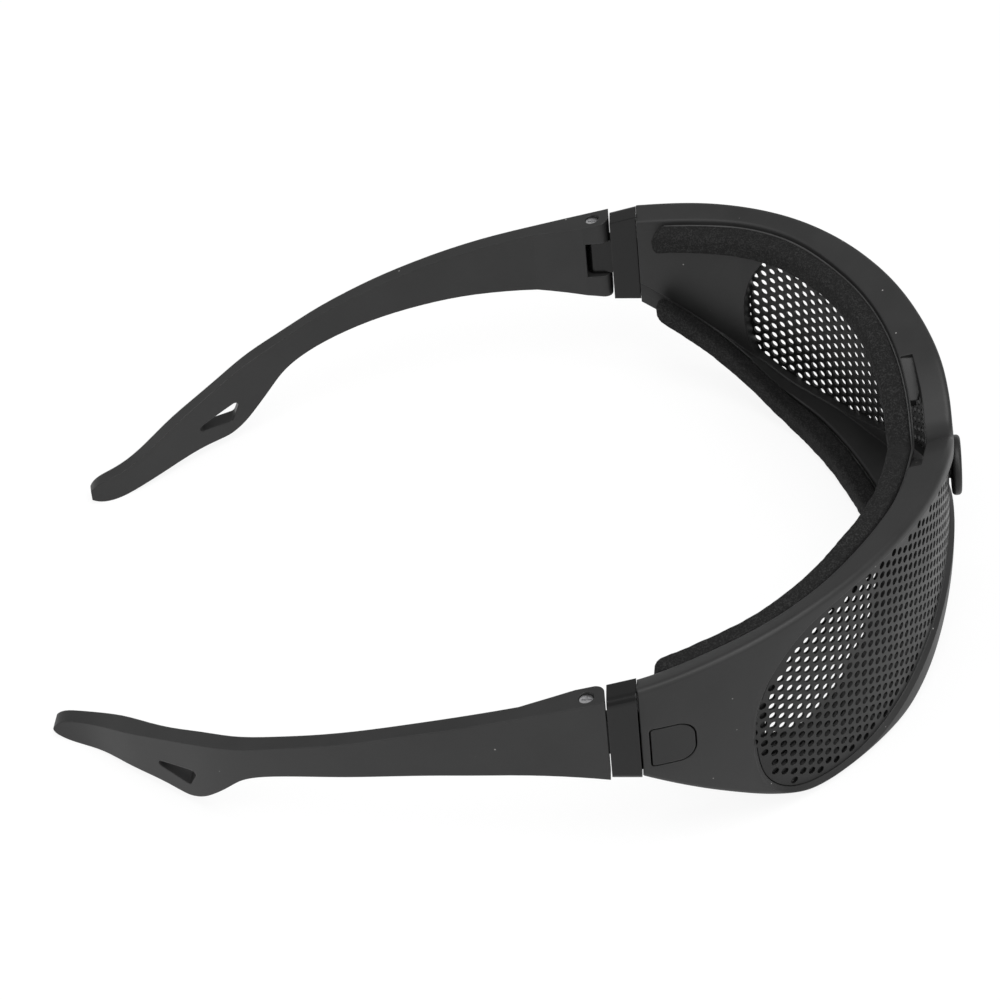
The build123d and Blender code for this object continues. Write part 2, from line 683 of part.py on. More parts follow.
with BuildPart() as left_temple:
    with BuildSketch(Plane.YZ) as temple_outline:
        with BuildLine():
            top = Spline(*temple_side(temple_top_shares), *temple_side([(1.0, 0.055)]))
            belly = Spline(*temple_side(temple_bottom_shares), *temple_side(bump_shares))
            tip = Spline(belly @ 1, *temple_side(tip_shares), tangents=[belly % 1, (0, 1)])
            Line(top @ 0, belly @ 0)
        make_face()
        with BuildSketch(Plane.XY, mode=Mode.PRIVATE) as hole_outline:
            with BuildLine():
                Polyline(*temple_side(temple_hole_shares), close=True)
            make_face()
            fillet(hole_outline.vertices(), hole_corner_round)
        add(hole_outline.sketch, mode=Mode.SUBTRACT)
    extrude(amount=wrap_radius + cut_overrun)
    with BuildSketch() as temple_plan:
        with BuildLine():
            outer = Spline(*temple_outer_points)
            inner_points = [
                outer @ share + (outer % share).rotate(Axis.Z, 90) * temple_thickness
                for share in temple_inner_shares
            ]
            inner = Spline(*inner_points)
            Line(outer @ 1, inner @ 1)
            Polyline(
                inner @ 0,
                (hinge_inner_half_width, hinge_y + boss_length_share * temple_length),
                (hinge_inner_half_width, (outer @ 0).Y),
                outer @ 0,
            )
        make_face()
    extrude(amount=brow_height, mode=Mode.INTERSECT)
    with Locations((hinge_half_spacing, temple_front_y, 0)):
        Box(4 * wall_thickness, reach, reach, align=(Align.CENTER, Align.MAX, Align.CENTER), mode=Mode.SUBTRACT)
    # slot for the tongue, open to the front and the inner side
    slot_outer_x = hinge_half_spacing + tongue_radius + tongue_clearance
    slot_rear_y = hinge_y + tongue_radius + 2 * tongue_clearance
    with Locations((slot_outer_x, slot_rear_y, tongue_bottom - ear_gap)):
        Box(
            cut_overrun, cut_overrun, tongue_top - tongue_bottom + 2 * ear_gap,
            align=(Align.MAX, Align.MAX, Align.MIN), mode=Mode.SUBTRACT,
        )
    fillet(
        left_temple.edges().filter_by(Axis.Z).group_by(Axis.Y)[0].group_by(Axis.X)[0],
        ear_front_round,
    )
    with Locations((hinge_half_spacing, hinge_y, (screw_top + insert_bottom) / 2)):
        Cylinder(screw_radius + insert_grip, screw_top - insert_bottom, mode=Mode.SUBTRACT)
    with Locations((hinge_half_spacing, hinge_y, screw_top - screw_head_height)):
        Cylinder(
            screw_head_radius + screw_head_clearance, cut_overrun,
            align=(Align.CENTER, Align.CENTER, Align.MIN), mode=Mode.SUBTRACT,
        )
    with Locations((hinge_half_spacing, hinge_y, insert_bottom)):
        Cylinder(
            insert_radius, insert_height,
            align=(Align.CENTER, Align.CENTER, Align.MIN), mode=Mode.SUBTRACT,
        )

# Hinge screw, left, with a cross slot, and the threaded insert in the lower ear
with BuildPart() as left_hinge_screw:
    with Locations((hinge_half_spacing, hinge_y, screw_top - screw_head_height)):
        Cylinder(screw_head_radius, screw_head_height, align=(Align.CENTER, Align.CENTER, Align.MIN))
    with Locations((hinge_half_spacing, hinge_y, insert_bottom + insert_grip)):
        Cylinder(
            screw_radius, screw_top - screw_head_height - insert_bottom - insert_grip,
            align=(Align.CENTER, Align.CENTER, Align.MIN),
        )
    with Locations((hinge_half_spacing, hinge_y, screw_top)):
        Box(
            1.4 * screw_head_radius, screw_slot_width, screw_slot_depth,
            align=(Align.CENTER, Align.CENTER, Align.MAX), mode=Mode.SUBTRACT,
        )
        Box(
            screw_slot_width, 1.4 * screw_head_radius, screw_slot_depth,
            align=(Align.CENTER, Align.CENTER, Align.MAX), mode=Mode.SUBTRACT,
        )

with BuildPart() as left_hinge_insert:
    with Locations((hinge_half_spacing, hinge_y, insert_bottom)):
        Cylinder(insert_radius, insert_height, align=(Align.CENTER, Align.CENTER, Align.MIN))
        Cylinder(
            screw_radius + insert_grip, insert_height,
            align=(Align.CENTER, Align.CENTER, Align.MIN), mode=Mode.SUBTRACT,
        )

# Each left piece, and its mirror image on the right
side_pieces = {
    "hinge_block": left_hinge_block,
    "release_button": left_release_button,
    "button_spring": left_button_spring,
    "temple": left_temple,
    "hinge_screw": left_hinge_screw,
    "hinge_insert": left_hinge_insert,
}
for name, left_piece in side_pieces.items():
    left_piece.part.label = "left_" + name
    export_step(left_piece.part, "parts/left_" + name + ".step")
    with BuildPart() as right_piece:
        mirror(left_piece.part, about=Plane.YZ)
    right_piece.part.label = "right_" + name
    export_step(right_piece.part, "parts/right_" + name + ".step")
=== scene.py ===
"""Mesh safety goggles standing open on a white table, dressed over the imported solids."""
import math
import bpy
import bmesh
import numpy as np
from mathutils import Matrix, Vector, noise


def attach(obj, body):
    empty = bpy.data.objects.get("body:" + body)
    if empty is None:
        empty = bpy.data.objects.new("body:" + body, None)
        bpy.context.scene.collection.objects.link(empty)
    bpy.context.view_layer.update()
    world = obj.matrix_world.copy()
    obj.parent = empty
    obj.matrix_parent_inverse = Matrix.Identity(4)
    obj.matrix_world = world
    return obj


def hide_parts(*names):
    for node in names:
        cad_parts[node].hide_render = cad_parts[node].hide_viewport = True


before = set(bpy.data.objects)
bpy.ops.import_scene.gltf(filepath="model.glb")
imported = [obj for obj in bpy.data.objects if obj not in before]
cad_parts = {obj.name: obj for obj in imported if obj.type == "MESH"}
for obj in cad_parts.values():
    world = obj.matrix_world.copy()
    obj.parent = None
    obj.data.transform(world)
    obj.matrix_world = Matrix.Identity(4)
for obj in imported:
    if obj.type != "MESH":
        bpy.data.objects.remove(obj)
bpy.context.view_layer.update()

MM = 0.001

# Sizes of the perforated sheet and its seat, as in the solids
WRAP_Y = -13.6 * MM
SHEET_OUTER_RADIUS = 75.0 * MM
SHEET_GAUGE = 0.6 * MM
SEAT_VIEW_ANGLE = 22.0
SHEET_EDGE_INSET = 0.15 * MM
BROW_HEIGHT = 48.0 * MM
SEAT_ANGLES_AND_HEIGHT_SHARES = [
    (0.0, 0.757), (7.0, 0.806), (14.0, 0.872), (21.0, 0.915), (30.0, 0.945), (39.0, 0.957),
    (47.0, 0.940), (52.8, 0.895), (57.2, 0.80), (60.4, 0.67), (62.1, 0.50), (61.9, 0.32),
    (60.3, 0.185), (56.6, 0.090), (50.0, 0.050), (42.0, 0.058), (34.0, 0.105), (26.0, 0.178),
    (18.0, 0.268), (9.0, 0.365), (0.0, 0.408),
]
TAB_END_ANGLE = 65.0
TAB_LOW = 18.5 * MM
TAB_HIGH = 29.5 * MM
HOLE_PITCH = 2.42 * MM
HOLE_DIAMETER = 1.62 * MM
HOLE_EDGE_MARGIN = 0.28 * MM
STEM_HOLE_RADIUS = 1.5 * MM
BUTTON_HEIGHT = 29.7 * MM
STEM_HOLE_SIDES = 20

# Sizes of the moulded front, measured in the photograph where they refine the solids
WRAP_RADIUS = 76.0 * MM
FRAME_REAR_Y = -27.5 * MM
FRAME_DEPTH = 62.1 * MM
WALL_INNER_RADIUS = 72.6 * MM
SEAT_RADIUS = 74.35 * MM
TAPER_START_ANGLE, TAPER_END_ANGLE, TAPER_END_RADIUS = 57.0, 73.0, 68.8 * MM
# Inner edges: degrees from the front, radius as a share of the wrap's
BROW_ANGLES_AND_SHARES = [
    (0.0, 0.8935), (12.0, 0.8965), (25.0, 0.910), (38.0, 0.9225), (50.0, 0.9395), (59.0, 0.943),
    (68.0, 0.937), (79.0, 0.934), (90.0, 0.930),
]
SHELF_ANGLES_AND_SHARES = [
    (0.0, 0.862), (8.0, 0.862), (18.0, 0.860), (27.0, 0.866), (36.0, 0.882), (45.0, 0.903),
    (53.0, 0.915), (60.0, 0.927), (68.0, 0.935), (79.0, 0.934), (90.0, 0.930),
]
# Side lines: distance forward of the rear end and height, as shares of depth and height
BROW_LINE_SHARES = [
    (-0.30, 0.80), (0.0, 0.858), (0.27, 0.926), (0.50, 0.974), (0.64, 0.990), (0.76, 0.991),
    (0.90, 0.975), (1.04, 0.925),
]
RIM_LINE_SHARES = [
    (-0.30, 0.64), (0.0, 0.408), (0.25, 0.208), (0.40, 0.083), (0.49, 0.022), (0.58, 0.0),
    (0.70, 0.0), (1.2, 0.0),
]
# Dip over the nose: distance from the middle as a share of the wrap's radius, and height share
BROW_DIP_SHARES = [
    (0.0, 0.790), (0.035, 0.803), (0.085, 0.858), (0.16, 0.908), (0.23, 0.936), (0.31, 0.957),
    (0.42, 0.988), (0.60, 1.05), (0.90, 1.2),
]
# Arches over the nose, at the outer wall and at the face: as the dip, in shares of ARCH_HEIGHT
ARCH_SHARES = [
    (0.0, 1.0), (0.08, 0.94), (0.17, 0.72), (0.28, 0.44), (0.39, 0.20), (0.50, 0.045),
    (0.58, 0.0), (0.9, 0.0),
]
ARCH_HEIGHT = 17.0 * MM
FACE_ARCH_SHARES = [
    (0.0, 0.95), (0.05, 0.80), (0.10, 0.46), (0.15, 0.21), (0.21, 0.06), (0.28, 0.0), (0.9, 0.0),
]
ARCH_OUTER_RADIUS, ARCH_FACE_RADIUS = 74.0 * MM, 65.0 * MM
TOP_CROWN, CROWN_SHARE_BELOW = 2.0 * MM, 0.33
CROWN_START_RADIUS, CROWN_WIDTH = 70.0 * MM, 6.0 * MM
TOP_BLEND, RIM_BLEND = 2.0 * MM, 1.0 * MM
SHELF_THICKNESS = 2.6 * MM
FLANGE_THICKNESS = 1.8 * MM
UPPER_FLANGE_HEIGHT = 3.9 * MM
LOWER_SHELF_HEIGHT = 5.0 * MM
TOP_EDGE_ROUND = 1.5 * MM
BOTTOM_EDGE_ROUND = 1.8 * MM
INNER_EDGE_ROUND = 0.5 * MM
FRONT_STATIONS, FRONT_HALF_ANGLE, SHARP_ANGLE = 241, 79.5, 32.0
MERGE_DISTANCE = 0.004 * MM
WINDOW_LEDGE = 2.4 * MM
WINDOW_SILL = 0.3 * MM
WINDOW_CUT_RADII = (65 * MM, 80 * MM)
POST_HALF_WIDTH = 8.0 * MM
SEAT_BEVEL = 0.9 * MM
TAPE_THICKNESS, TAPE_SPACING, TAPE_END_INSET = 0.3 * MM, 1.5 * MM, 2 * MM
UPPER_TAPE_DROP, UPPER_TAPE_HEIGHT = 1.2 * MM, 2.9 * MM
LOWER_TAPE_RISE, LOWER_TAPE_HEIGHT = 0.8 * MM, 3.4 * MM
FOAM_CORNER, FOAM_SPACING = 1.1 * MM, 0.5 * MM
FOAM_THICKNESS = 4.6 * MM
UPPER_FOAM_HEIGHT = 4.4 * MM
LOWER_FOAM_HEIGHT = 4.8 * MM
FOAM_DROP = 0.5 * MM
FOAM_REAR_Y = -31.0 * MM
STRIP_REAR_SHARE, STRIP_MEAN_RADIUS = 0.93, 70 * MM
STRIP_END_TAPER, STRIP_END_THINNEST = 2 * MM, 0.02
FOAM_WAVE_SCALE, FOAM_WAVE_HEIGHT = 260.0, 0.14
FOAM_PORE_SCALE, FOAM_PORE_HEIGHT = 900.0, 0.07

# Plug socket and release-button window at each rear end, and the vent in the brow
BUTTON_ANGLE = 74.9
BUTTON_MIDDLE_HEIGHT = 27.3 * MM
BUTTON_WIDTH, BUTTON_TALL = 8.4 * MM, 9.0 * MM
BUTTON_FRONT_ROUND, BUTTON_REAR_ROUND = 3.3 * MM, 0.5 * MM
BUTTON_WINDOW_GAP = 0.35 * MM
SOCKET_FRONT, SOCKET_REAR = -5.8 * MM, 30.0 * MM
SOCKET_INNER_DEPTH, SOCKET_OUTER_DEPTH = -4.35 * MM, -1.25 * MM
SOCKET_HALF_HEIGHT = 6.1 * MM
BUTTON_WINDOW_DEPTHS = (SOCKET_OUTER_DEPTH - 0.1 * MM, 8 * MM)
STEM_CUT_DEPTHS = (70 * MM, 80 * MM)
VENT_HALF_LENGTH, VENT_FLOOR_HALF_LENGTH = 17.0 * MM, 9.0 * MM
VENT_END_HEIGHT, VENT_FLOOR_HEIGHT, VENT_DEEP = 43.7 * MM, 39.3 * MM, 30.0 * MM
VENT_REAR_INSET, VENT_FRONT_INSET = 0.35 * MM, 2.7 * MM
VENT_BEND_RADIUS, VENT_CUT_TOP, VENT_STEP = 69 * MM, 60 * MM, 0.02 * MM
GAP_LIP_RADIUS, GAP_LIP_LENGTH = 75.3 * MM, 0.22 * MM

CAMERA_PLACE = (-0.61793, -0.05613, 0.56012)
CAMERA_RIGHT, CAMERA_BACK = (0.0243, -0.9966, -0.0784), (-0.7545, -0.0697, 0.6526)
CAMERA_LENS, SENSOR_WIDTH = 147.1, 36.0
FLOOR_HALF_SIZE, FLOOR_SHADE_KEPT = 4.0, 0.12
WORLD_LIGHT = 0.55
LAMPS = (
    ("lamp_above", (-0.25, -0.25, 1.1), 0.9, 9.0),
    ("lamp_front", (-0.9, -0.8, 0.7), 0.7, 5.0),
    ("lamp_rear", (-0.5, 0.9, 0.8), 0.8, 5.0),
)
LAMP_TARGET = (0, 0, 0.02)


# Small helpers
def link(obj):
    bpy.context.scene.collection.objects.link(obj)
    return obj


def mesh_object(name, mesh):
    return link(bpy.data.objects.new(name, mesh))


def applied(obj, name):
    """A plain mesh object from an object with modifiers; the source object is removed."""
    depsgraph = bpy.context.evaluated_depsgraph_get()
    depsgraph.update()
    mesh = bpy.data.meshes.new_from_object(obj.evaluated_get(depsgraph), depsgraph=depsgraph)
    mesh.name = name
    bpy.data.objects.remove(obj, do_unlink=True)
    return mesh_object(name, mesh)


class Nodes:
    """Short hand for building a node tree."""

    def __init__(self, tree):
        self.tree = tree

    def add(self, kind, inputs=None, **settings):
        node = self.tree.nodes.new(kind)
        for key, value in settings.items():
            setattr(node, key, value)
        for key, value in (inputs or {}).items():
            self.set(node, key, value)
        return node

    def set(self, node, key, value):
        socket = node.inputs[key]
        if isinstance(value, bpy.types.NodeSocket):
            self.tree.links.new(value, socket)
        else:
            socket.default_value = value

    def math(self, operation, a, b=None, clamp=False):
        node = self.add("ShaderNodeMath", operation=operation, use_clamp=clamp)
        self.set(node, 0, a)
        if b is not None:
            self.set(node, 1, b)
        return node.outputs[0]

    def vector(self, operation, a, b=None, output=0):
        node = self.add("ShaderNodeVectorMath", operation=operation)
        self.set(node, 0, a)
        if b is not None:
            self.set(node, 1, b)
        return node.outputs[output]

    def mix(self, factor, a, b):
        node = self.add("ShaderNodeMix", data_type="RGBA")
        self.set(node, 0, factor)
        self.set(node, 6, a)
        self.set(node, 7, b)
        return node.outputs[2]

    def remap(self, value, low, high, out_low=0.0, out_high=1.0):
        node = self.add("ShaderNodeMapRange", {"Value": value, "From Min": low, "From Max": high,
                                               "To Min": out_low, "To Max": out_high})
        return node.outputs[0]


# Camera, floor and light
def place_camera():
    """The photograph's viewpoint: from the wearer's right and above, with a long lens."""
    right = Vector(CAMERA_RIGHT).normalized()
    back = Vector(CAMERA_BACK).normalized()
    up = back.cross(right).normalized()
    right = up.cross(back)
    data = bpy.data.cameras.new("camera")
    data.lens = CAMERA_LENS
    data.sensor_width = SENSOR_WIDTH
    data.clip_start = 0.01
    data.clip_end = 20.0
    camera = link(bpy.data.objects.new("camera", data))
    camera.matrix_world = Matrix((
        (right.x, up.x, back.x, CAMERA_PLACE[0]),
        (right.y, up.y, back.y, CAMERA_PLACE[1]),
        (right.z, up.z, back.z, CAMERA_PLACE[2]),
        (0.0, 0.0, 0.0, 1.0),
    ))
    bpy.context.scene.camera = camera


def white_for_camera(nodes, shader, keep):
    """Shows white to the camera, with a part of the shader's own shading, its shadows, kept."""
    light_path = nodes.add("ShaderNodeLightPath")
    seen = nodes.math("MAXIMUM", light_path.outputs["Is Camera Ray"],
                      light_path.outputs["Is Glossy Ray"])
    seen = nodes.math("MAXIMUM", seen, light_path.outputs["Is Transmission Ray"])
    white = nodes.add("ShaderNodeEmission", {"Color": (1, 1, 1, 1), "Strength": 1.0})
    mix = nodes.add("ShaderNodeMixShader", {0: nodes.math("MULTIPLY", seen, 1.0 - keep)})
    nodes.tree.links.new(shader, mix.inputs[1])
    nodes.tree.links.new(white.outputs[0], mix.inputs[2])
    return mix.outputs[0]


def lay_floor():
    mesh = bpy.data.meshes.new("floor")
    half = FLOOR_HALF_SIZE
    corners = [(-half, -half, 0), (half, -half, 0), (half, half, 0), (-half, half, 0)]
    mesh.from_pydata(corners, [], [(0, 1, 2, 3)])
    floor = mesh_object("floor", mesh)
    material = bpy.data.materials.new("white_table")
    material.use_nodes = True
    tree = material.node_tree
    tree.nodes.clear()
    nodes = Nodes(tree)
    paint = nodes.add("ShaderNodeBsdfDiffuse", {"Color": (0.9, 0.9, 0.9, 1)})
    output = nodes.add("ShaderNodeOutputMaterial")
    tree.links.new(white_for_camera(nodes, paint.outputs[0], FLOOR_SHADE_KEPT), output.inputs[0])
    mesh.materials.append(material)


def light_scene():
    world = bpy.data.worlds.new("studio")
    bpy.context.scene.world = world
    world.use_nodes = True
    tree = world.node_tree
    tree.nodes.clear()
    nodes = Nodes(tree)
    light_path = nodes.add("ShaderNodeLightPath")
    seen = nodes.math("MAXIMUM", light_path.outputs["Is Camera Ray"],
                      light_path.outputs["Is Transmission Ray"])
    strength = nodes.remap(seen, 0.0, 1.0, WORLD_LIGHT, 1.0)
    background = nodes.add("ShaderNodeBackground", {"Color": (1, 1, 1, 1), "Strength": strength})
    output = nodes.add("ShaderNodeOutputWorld")
    tree.links.new(background.outputs[0], output.inputs[0])
    for name, place, size, power in LAMPS:
        data = bpy.data.lights.new(name, "AREA")
        data.shape = "DISK"
        data.size = size
        data.energy = power
        lamp = link(bpy.data.objects.new(name, data))
        lamp.location = place
        aim = Vector(LAMP_TARGET) - Vector(place)
        lamp.rotation_euler = aim.to_track_quat("-Z", "Y").to_euler()
    bpy.context.scene.view_settings.view_transform = "Standard"


# Effects that several materials share
def new_group(name, inputs, outputs):
    group = bpy.data.node_groups.new(name, "ShaderNodeTree")
    for label, kind, value in inputs:
        socket = group.interface.new_socket(label, in_out="INPUT", socket_type=kind)
        if value is not None:
            socket.default_value = value
    for label, kind in outputs:
        group.interface.new_socket(label, in_out="OUTPUT", socket_type=kind)
    nodes = Nodes(group)
    return group, nodes, nodes.add("NodeGroupInput"), nodes.add("NodeGroupOutput")


def build_mould_grain():
    """Fine moulded grain: a height for the bump and a mottle for the colour and gloss."""
    group, nodes, given, out = new_group(
        "mould_grain",
        [("Grain Scale", "NodeSocketFloat", 2600.0), ("Mottle Scale", "NodeSocketFloat", 90.0)],
        [("Height", "NodeSocketFloat"), ("Mottle", "NodeSocketFloat")],
    )
    place = nodes.add("ShaderNodeTexCoord").outputs["Object"]
    fine = nodes.add("ShaderNodeTexNoise", {
        "Vector": place, "Scale": given.outputs["Grain Scale"], "Detail": 3.0, "Roughness": 0.6})
    broad = nodes.add("ShaderNodeTexNoise", {
        "Vector": place, "Scale": given.outputs["Mottle Scale"], "Detail": 4.0, "Roughness": 0.55})
    nodes.set(out, "Height", fine.outputs["Fac"])
    nodes.set(out, "Mottle", nodes.remap(broad.outputs["Fac"], 0.3, 0.7))
    return group


def build_wear_and_glint_edges():
    """Mask of edges broken up by noise, for rubbing wear and painted glints, and the rounded normal
    that softens them.
    """
    group, nodes, given, out = new_group(
        "edge_wear_glint_mask",
        [("Radius", "NodeSocketFloat", 0.4 * MM), ("Break Up Scale", "NodeSocketFloat", 700.0),
         ("Normal", "NodeSocketVector", None)],
        [("Mask", "NodeSocketFloat"), ("Soft Normal", "NodeSocketVector")],
    )
    soft = nodes.add("ShaderNodeBevel", {"Radius": given.outputs["Radius"]}, samples=6)
    geometry = nodes.add("ShaderNodeNewGeometry")
    along = nodes.vector("DOT_PRODUCT", soft.outputs[0], geometry.outputs["Normal"], output=1)
    edge = nodes.remap(along, 0.995, 0.90)
    place = nodes.add("ShaderNodeTexCoord").outputs["Object"]
    chips = nodes.add("ShaderNodeTexNoise", {
        "Vector": place, "Scale": given.outputs["Break Up Scale"], "Detail": 4.0})
    broken = nodes.remap(chips.outputs["Fac"], 0.35, 0.62)
    nodes.set(out, "Mask", nodes.math("MULTIPLY", edge, broken, clamp=True))
    nodes.set(out, "Soft Normal", soft.outputs[0])
    return group


def build_dust():
    """Sparse pale specks of dust."""
    group, nodes, given, out = new_group(
        "dust",
        [("Scale", "NodeSocketFloat", 520.0), ("Amount", "NodeSocketFloat", 0.5)],
        [("Mask", "NodeSocketFloat")],
    )
    place = nodes.add("ShaderNodeTexCoord").outputs["Object"]
    cells = nodes.add("ShaderNodeTexVoronoi", {"Vector": place, "Scale": given.outputs["Scale"]},
                      feature="F1")
    speck = nodes.remap(cells.outputs["Distance"], 0.10, 0.04)
    lottery = nodes.add("ShaderNodeSeparateColor", {0: cells.outputs["Color"]})
    limit = nodes.math("SUBTRACT", 1.0, nodes.math("MULTIPLY", given.outputs["Amount"], 0.16))
    chosen = nodes.math("GREATER_THAN", lottery.outputs[0], limit)
    nodes.set(out, "Mask", nodes.math("MULTIPLY", speck, chosen, clamp=True))
    return group


MOULD_GRAIN = build_mould_grain()
WEAR_AND_GLINT_EDGES = build_wear_and_glint_edges()
DUST = build_dust()


def new_material(name):
    material = bpy.data.materials.new(name)
    material.use_nodes = True
    tree = material.node_tree
    tree.nodes.clear()
    nodes = Nodes(tree)
    shader = nodes.add("ShaderNodeBsdfPrincipled")
    output = nodes.add("ShaderNodeOutputMaterial")
    tree.links.new(shader.outputs[0], output.inputs[0])
    return material, nodes, shader


def grey(value, warm=0.0):
    return (value * (1 + warm), value, value * (1 - warm), 1.0)


def moulded_plastic(name, tone, roughness, grain=0.06, rub=0.35, dust=0.5, specular=0.5):
    """Moulded plastic with fine grain, softened edges slightly paled by rubbing, and a little dust.
    """
    material, nodes, shader = new_material(name)
    texture = nodes.add("ShaderNodeGroup", node_tree=MOULD_GRAIN)
    nodes.set(texture, "Grain Scale", 2600.0)
    wear_glint_node = nodes.add("ShaderNodeGroup", node_tree=WEAR_AND_GLINT_EDGES)
    nodes.set(wear_glint_node, "Radius", 0.35 * MM)
    specks = nodes.add("ShaderNodeGroup", node_tree=DUST)
    nodes.set(specks, "Amount", dust)
    colour = nodes.mix(texture.outputs["Mottle"], grey(tone * 0.80), grey(tone * 1.16))
    wear_glint_share = nodes.math("MULTIPLY", wear_glint_node.outputs["Mask"], rub)
    colour = nodes.mix(wear_glint_share, colour, grey(tone * 2.2))
    dusty = nodes.math("MULTIPLY", specks.outputs["Mask"], 0.55)
    colour = nodes.mix(dusty, colour, grey(0.5, 0.02))
    nodes.set(shader, "Base Color", colour)
    dull = nodes.remap(texture.outputs["Mottle"], 0.0, 1.0, roughness * 0.93, roughness * 1.07)
    polish = nodes.math("MULTIPLY", wear_glint_node.outputs["Mask"], 0.08)
    nodes.set(shader, "Roughness", nodes.math("SUBTRACT", dull, polish))
    shader.inputs["Specular IOR Level"].default_value = specular
    bump = nodes.add("ShaderNodeBump", {
        "Strength": grain, "Distance": 0.05 * MM, "Height": texture.outputs["Height"],
        "Normal": wear_glint_node.outputs["Soft Normal"]})
    nodes.set(shader, "Normal", bump.outputs[0])
    return material


def darkened_steel(name, tone, roughness):
    """Darkened sheet steel: rolled streaks, and punched edges painted pale as a glint."""
    material, nodes, shader = new_material(name)
    texture = nodes.add("ShaderNodeGroup", node_tree=MOULD_GRAIN)
    nodes.set(texture, "Grain Scale", 1800.0)
    wear_glint_node = nodes.add("ShaderNodeGroup", node_tree=WEAR_AND_GLINT_EDGES)
    nodes.set(wear_glint_node, "Radius", 0.09 * MM)
    nodes.set(wear_glint_node, "Break Up Scale", 1100.0)
    colour = nodes.mix(texture.outputs["Mottle"], grey(tone * 0.85), grey(tone * 1.15))
    # The pale edges are a painted glint along the punched hole rims and the sheet's edge.
    wear_glint_share = nodes.math("MULTIPLY", wear_glint_node.outputs["Mask"], 0.6)
    colour = nodes.mix(wear_glint_share, colour, grey(tone * 2.5))
    nodes.set(shader, "Base Color", colour)
    shader.inputs["Metallic"].default_value = 0.85
    nodes.set(shader, "Roughness", nodes.remap(
        texture.outputs["Mottle"], 0.0, 1.0, roughness * 0.85, roughness * 1.15))
    bump = nodes.add("ShaderNodeBump", {
        "Strength": 0.05, "Distance": 0.03 * MM, "Height": texture.outputs["Height"],
        "Normal": wear_glint_node.outputs["Soft Normal"]})
    nodes.set(shader, "Normal", bump.outputs[0])
    return material


def bright_metal(name, colour, roughness):
    """Plain turned metal with fine turning marks."""
    material, nodes, shader = new_material(name)
    texture = nodes.add("ShaderNodeGroup", node_tree=MOULD_GRAIN)
    nodes.set(texture, "Grain Scale", 4000.0)
    dull = tuple(c * 0.6 for c in colour[:3]) + (1.0,)
    nodes.set(shader, "Base Color", nodes.mix(texture.outputs["Mottle"], dull, colour))
    shader.inputs["Metallic"].default_value = 1.0
    nodes.set(shader, "Roughness", nodes.remap(
        texture.outputs["Mottle"], 0.0, 1.0, roughness, roughness * 1.4))
    bump = nodes.add("ShaderNodeBump", {
        "Strength": 0.1, "Distance": 0.02 * MM, "Height": texture.outputs["Height"]})
    nodes.set(shader, "Normal", bump.outputs[0])
    return material


def cut_foam(name, tone):
    """Open-cell foam, cut square: dark cells and pale cut cell walls, as fine salt and pepper."""
    material, nodes, shader = new_material(name)
    place = nodes.add("ShaderNodeTexCoord").outputs["Object"]
    cells = nodes.add("ShaderNodeTexVoronoi", {"Vector": place, "Scale": 4800.0, "Randomness": 1.0},
                      feature="F1")
    lottery = nodes.add("ShaderNodeSeparateColor", {0: cells.outputs["Color"]})
    pale = nodes.remap(lottery.outputs[0], 0.45, 1.0)
    broad = nodes.add("ShaderNodeTexNoise", {
        "Vector": place, "Scale": 700.0, "Detail": 3.0, "Roughness": 0.6})
    patch = nodes.remap(broad.outputs["Fac"], 0.30, 0.70, 0.45, 1.0)
    colour = nodes.mix(nodes.math("MULTIPLY", pale, patch), grey(tone * 0.65), grey(tone * 2.4))
    nodes.set(shader, "Base Color", colour)
    shader.inputs["Roughness"].default_value = 0.95
    shader.inputs["Specular IOR Level"].default_value = 0.15
    height = nodes.math("ADD", nodes.math("MULTIPLY", lottery.outputs[1], 0.6),
                        nodes.math("MULTIPLY", patch, 0.6))
    bump = nodes.add("ShaderNodeBump", {"Strength": 0.6, "Distance": 0.15 * MM, "Height": height})
    nodes.set(shader, "Normal", bump.outputs[0])
    return material


FRAME_PLASTIC = moulded_plastic("frame_charcoal_plastic", 0.013, 0.50, dust=0.6, specular=0.35)
TEMPLE_PLASTIC = moulded_plastic("temple_charcoal_plastic", 0.013, 0.48, dust=0.25, specular=0.35)
BLOCK_PLASTIC = moulded_plastic("block_black_plastic", 0.003, 0.24, grain=0.03, rub=0.9, dust=0.1,
                                specular=0.3)
BUTTON_PLASTIC = moulded_plastic("button_black_plastic", 0.008, 0.47, dust=0.1, specular=0.35)
SHEET_STEEL = darkened_steel("shield_darkened_steel", 0.030, 0.42)
BRIGHT_STEEL = bright_metal("bright_steel", (0.62, 0.62, 0.63, 1.0), 0.25)
INSERT_BRASS = bright_metal("insert_brass", (0.72, 0.55, 0.26, 1.0), 0.3)
FOAM = cut_foam("charcoal_foam", 0.0125)
TAPE_FILM = moulded_plastic("tape_film", 0.05, 0.6, grain=0.1, rub=0.0, dust=0.0)

NODE_MATERIALS = {
    "frame": FRAME_PLASTIC, "shield_button": BUTTON_PLASTIC, "button_washer": BRIGHT_STEEL,
    "upper_foam_tape": TAPE_FILM, "lower_foam_tape": TAPE_FILM,
    "hinge_block": BLOCK_PLASTIC, "release_button": BUTTON_PLASTIC, "button_spring": BRIGHT_STEEL,
    "temple": TEMPLE_PLASTIC, "hinge_screw": BRIGHT_STEEL, "hinge_insert": INSERT_BRASS,
}


def dress_nodes():
    """Gives every shown solid its material."""
    for name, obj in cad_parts.items():
        plain = name.removeprefix("left_").removeprefix("right_")
        material = NODE_MATERIALS.get(plain)
        if material is None:
            continue
        if obj.material_slots:
            for place in obj.material_slots:
                place.material = material
        else:
            obj.data.materials.append(material)


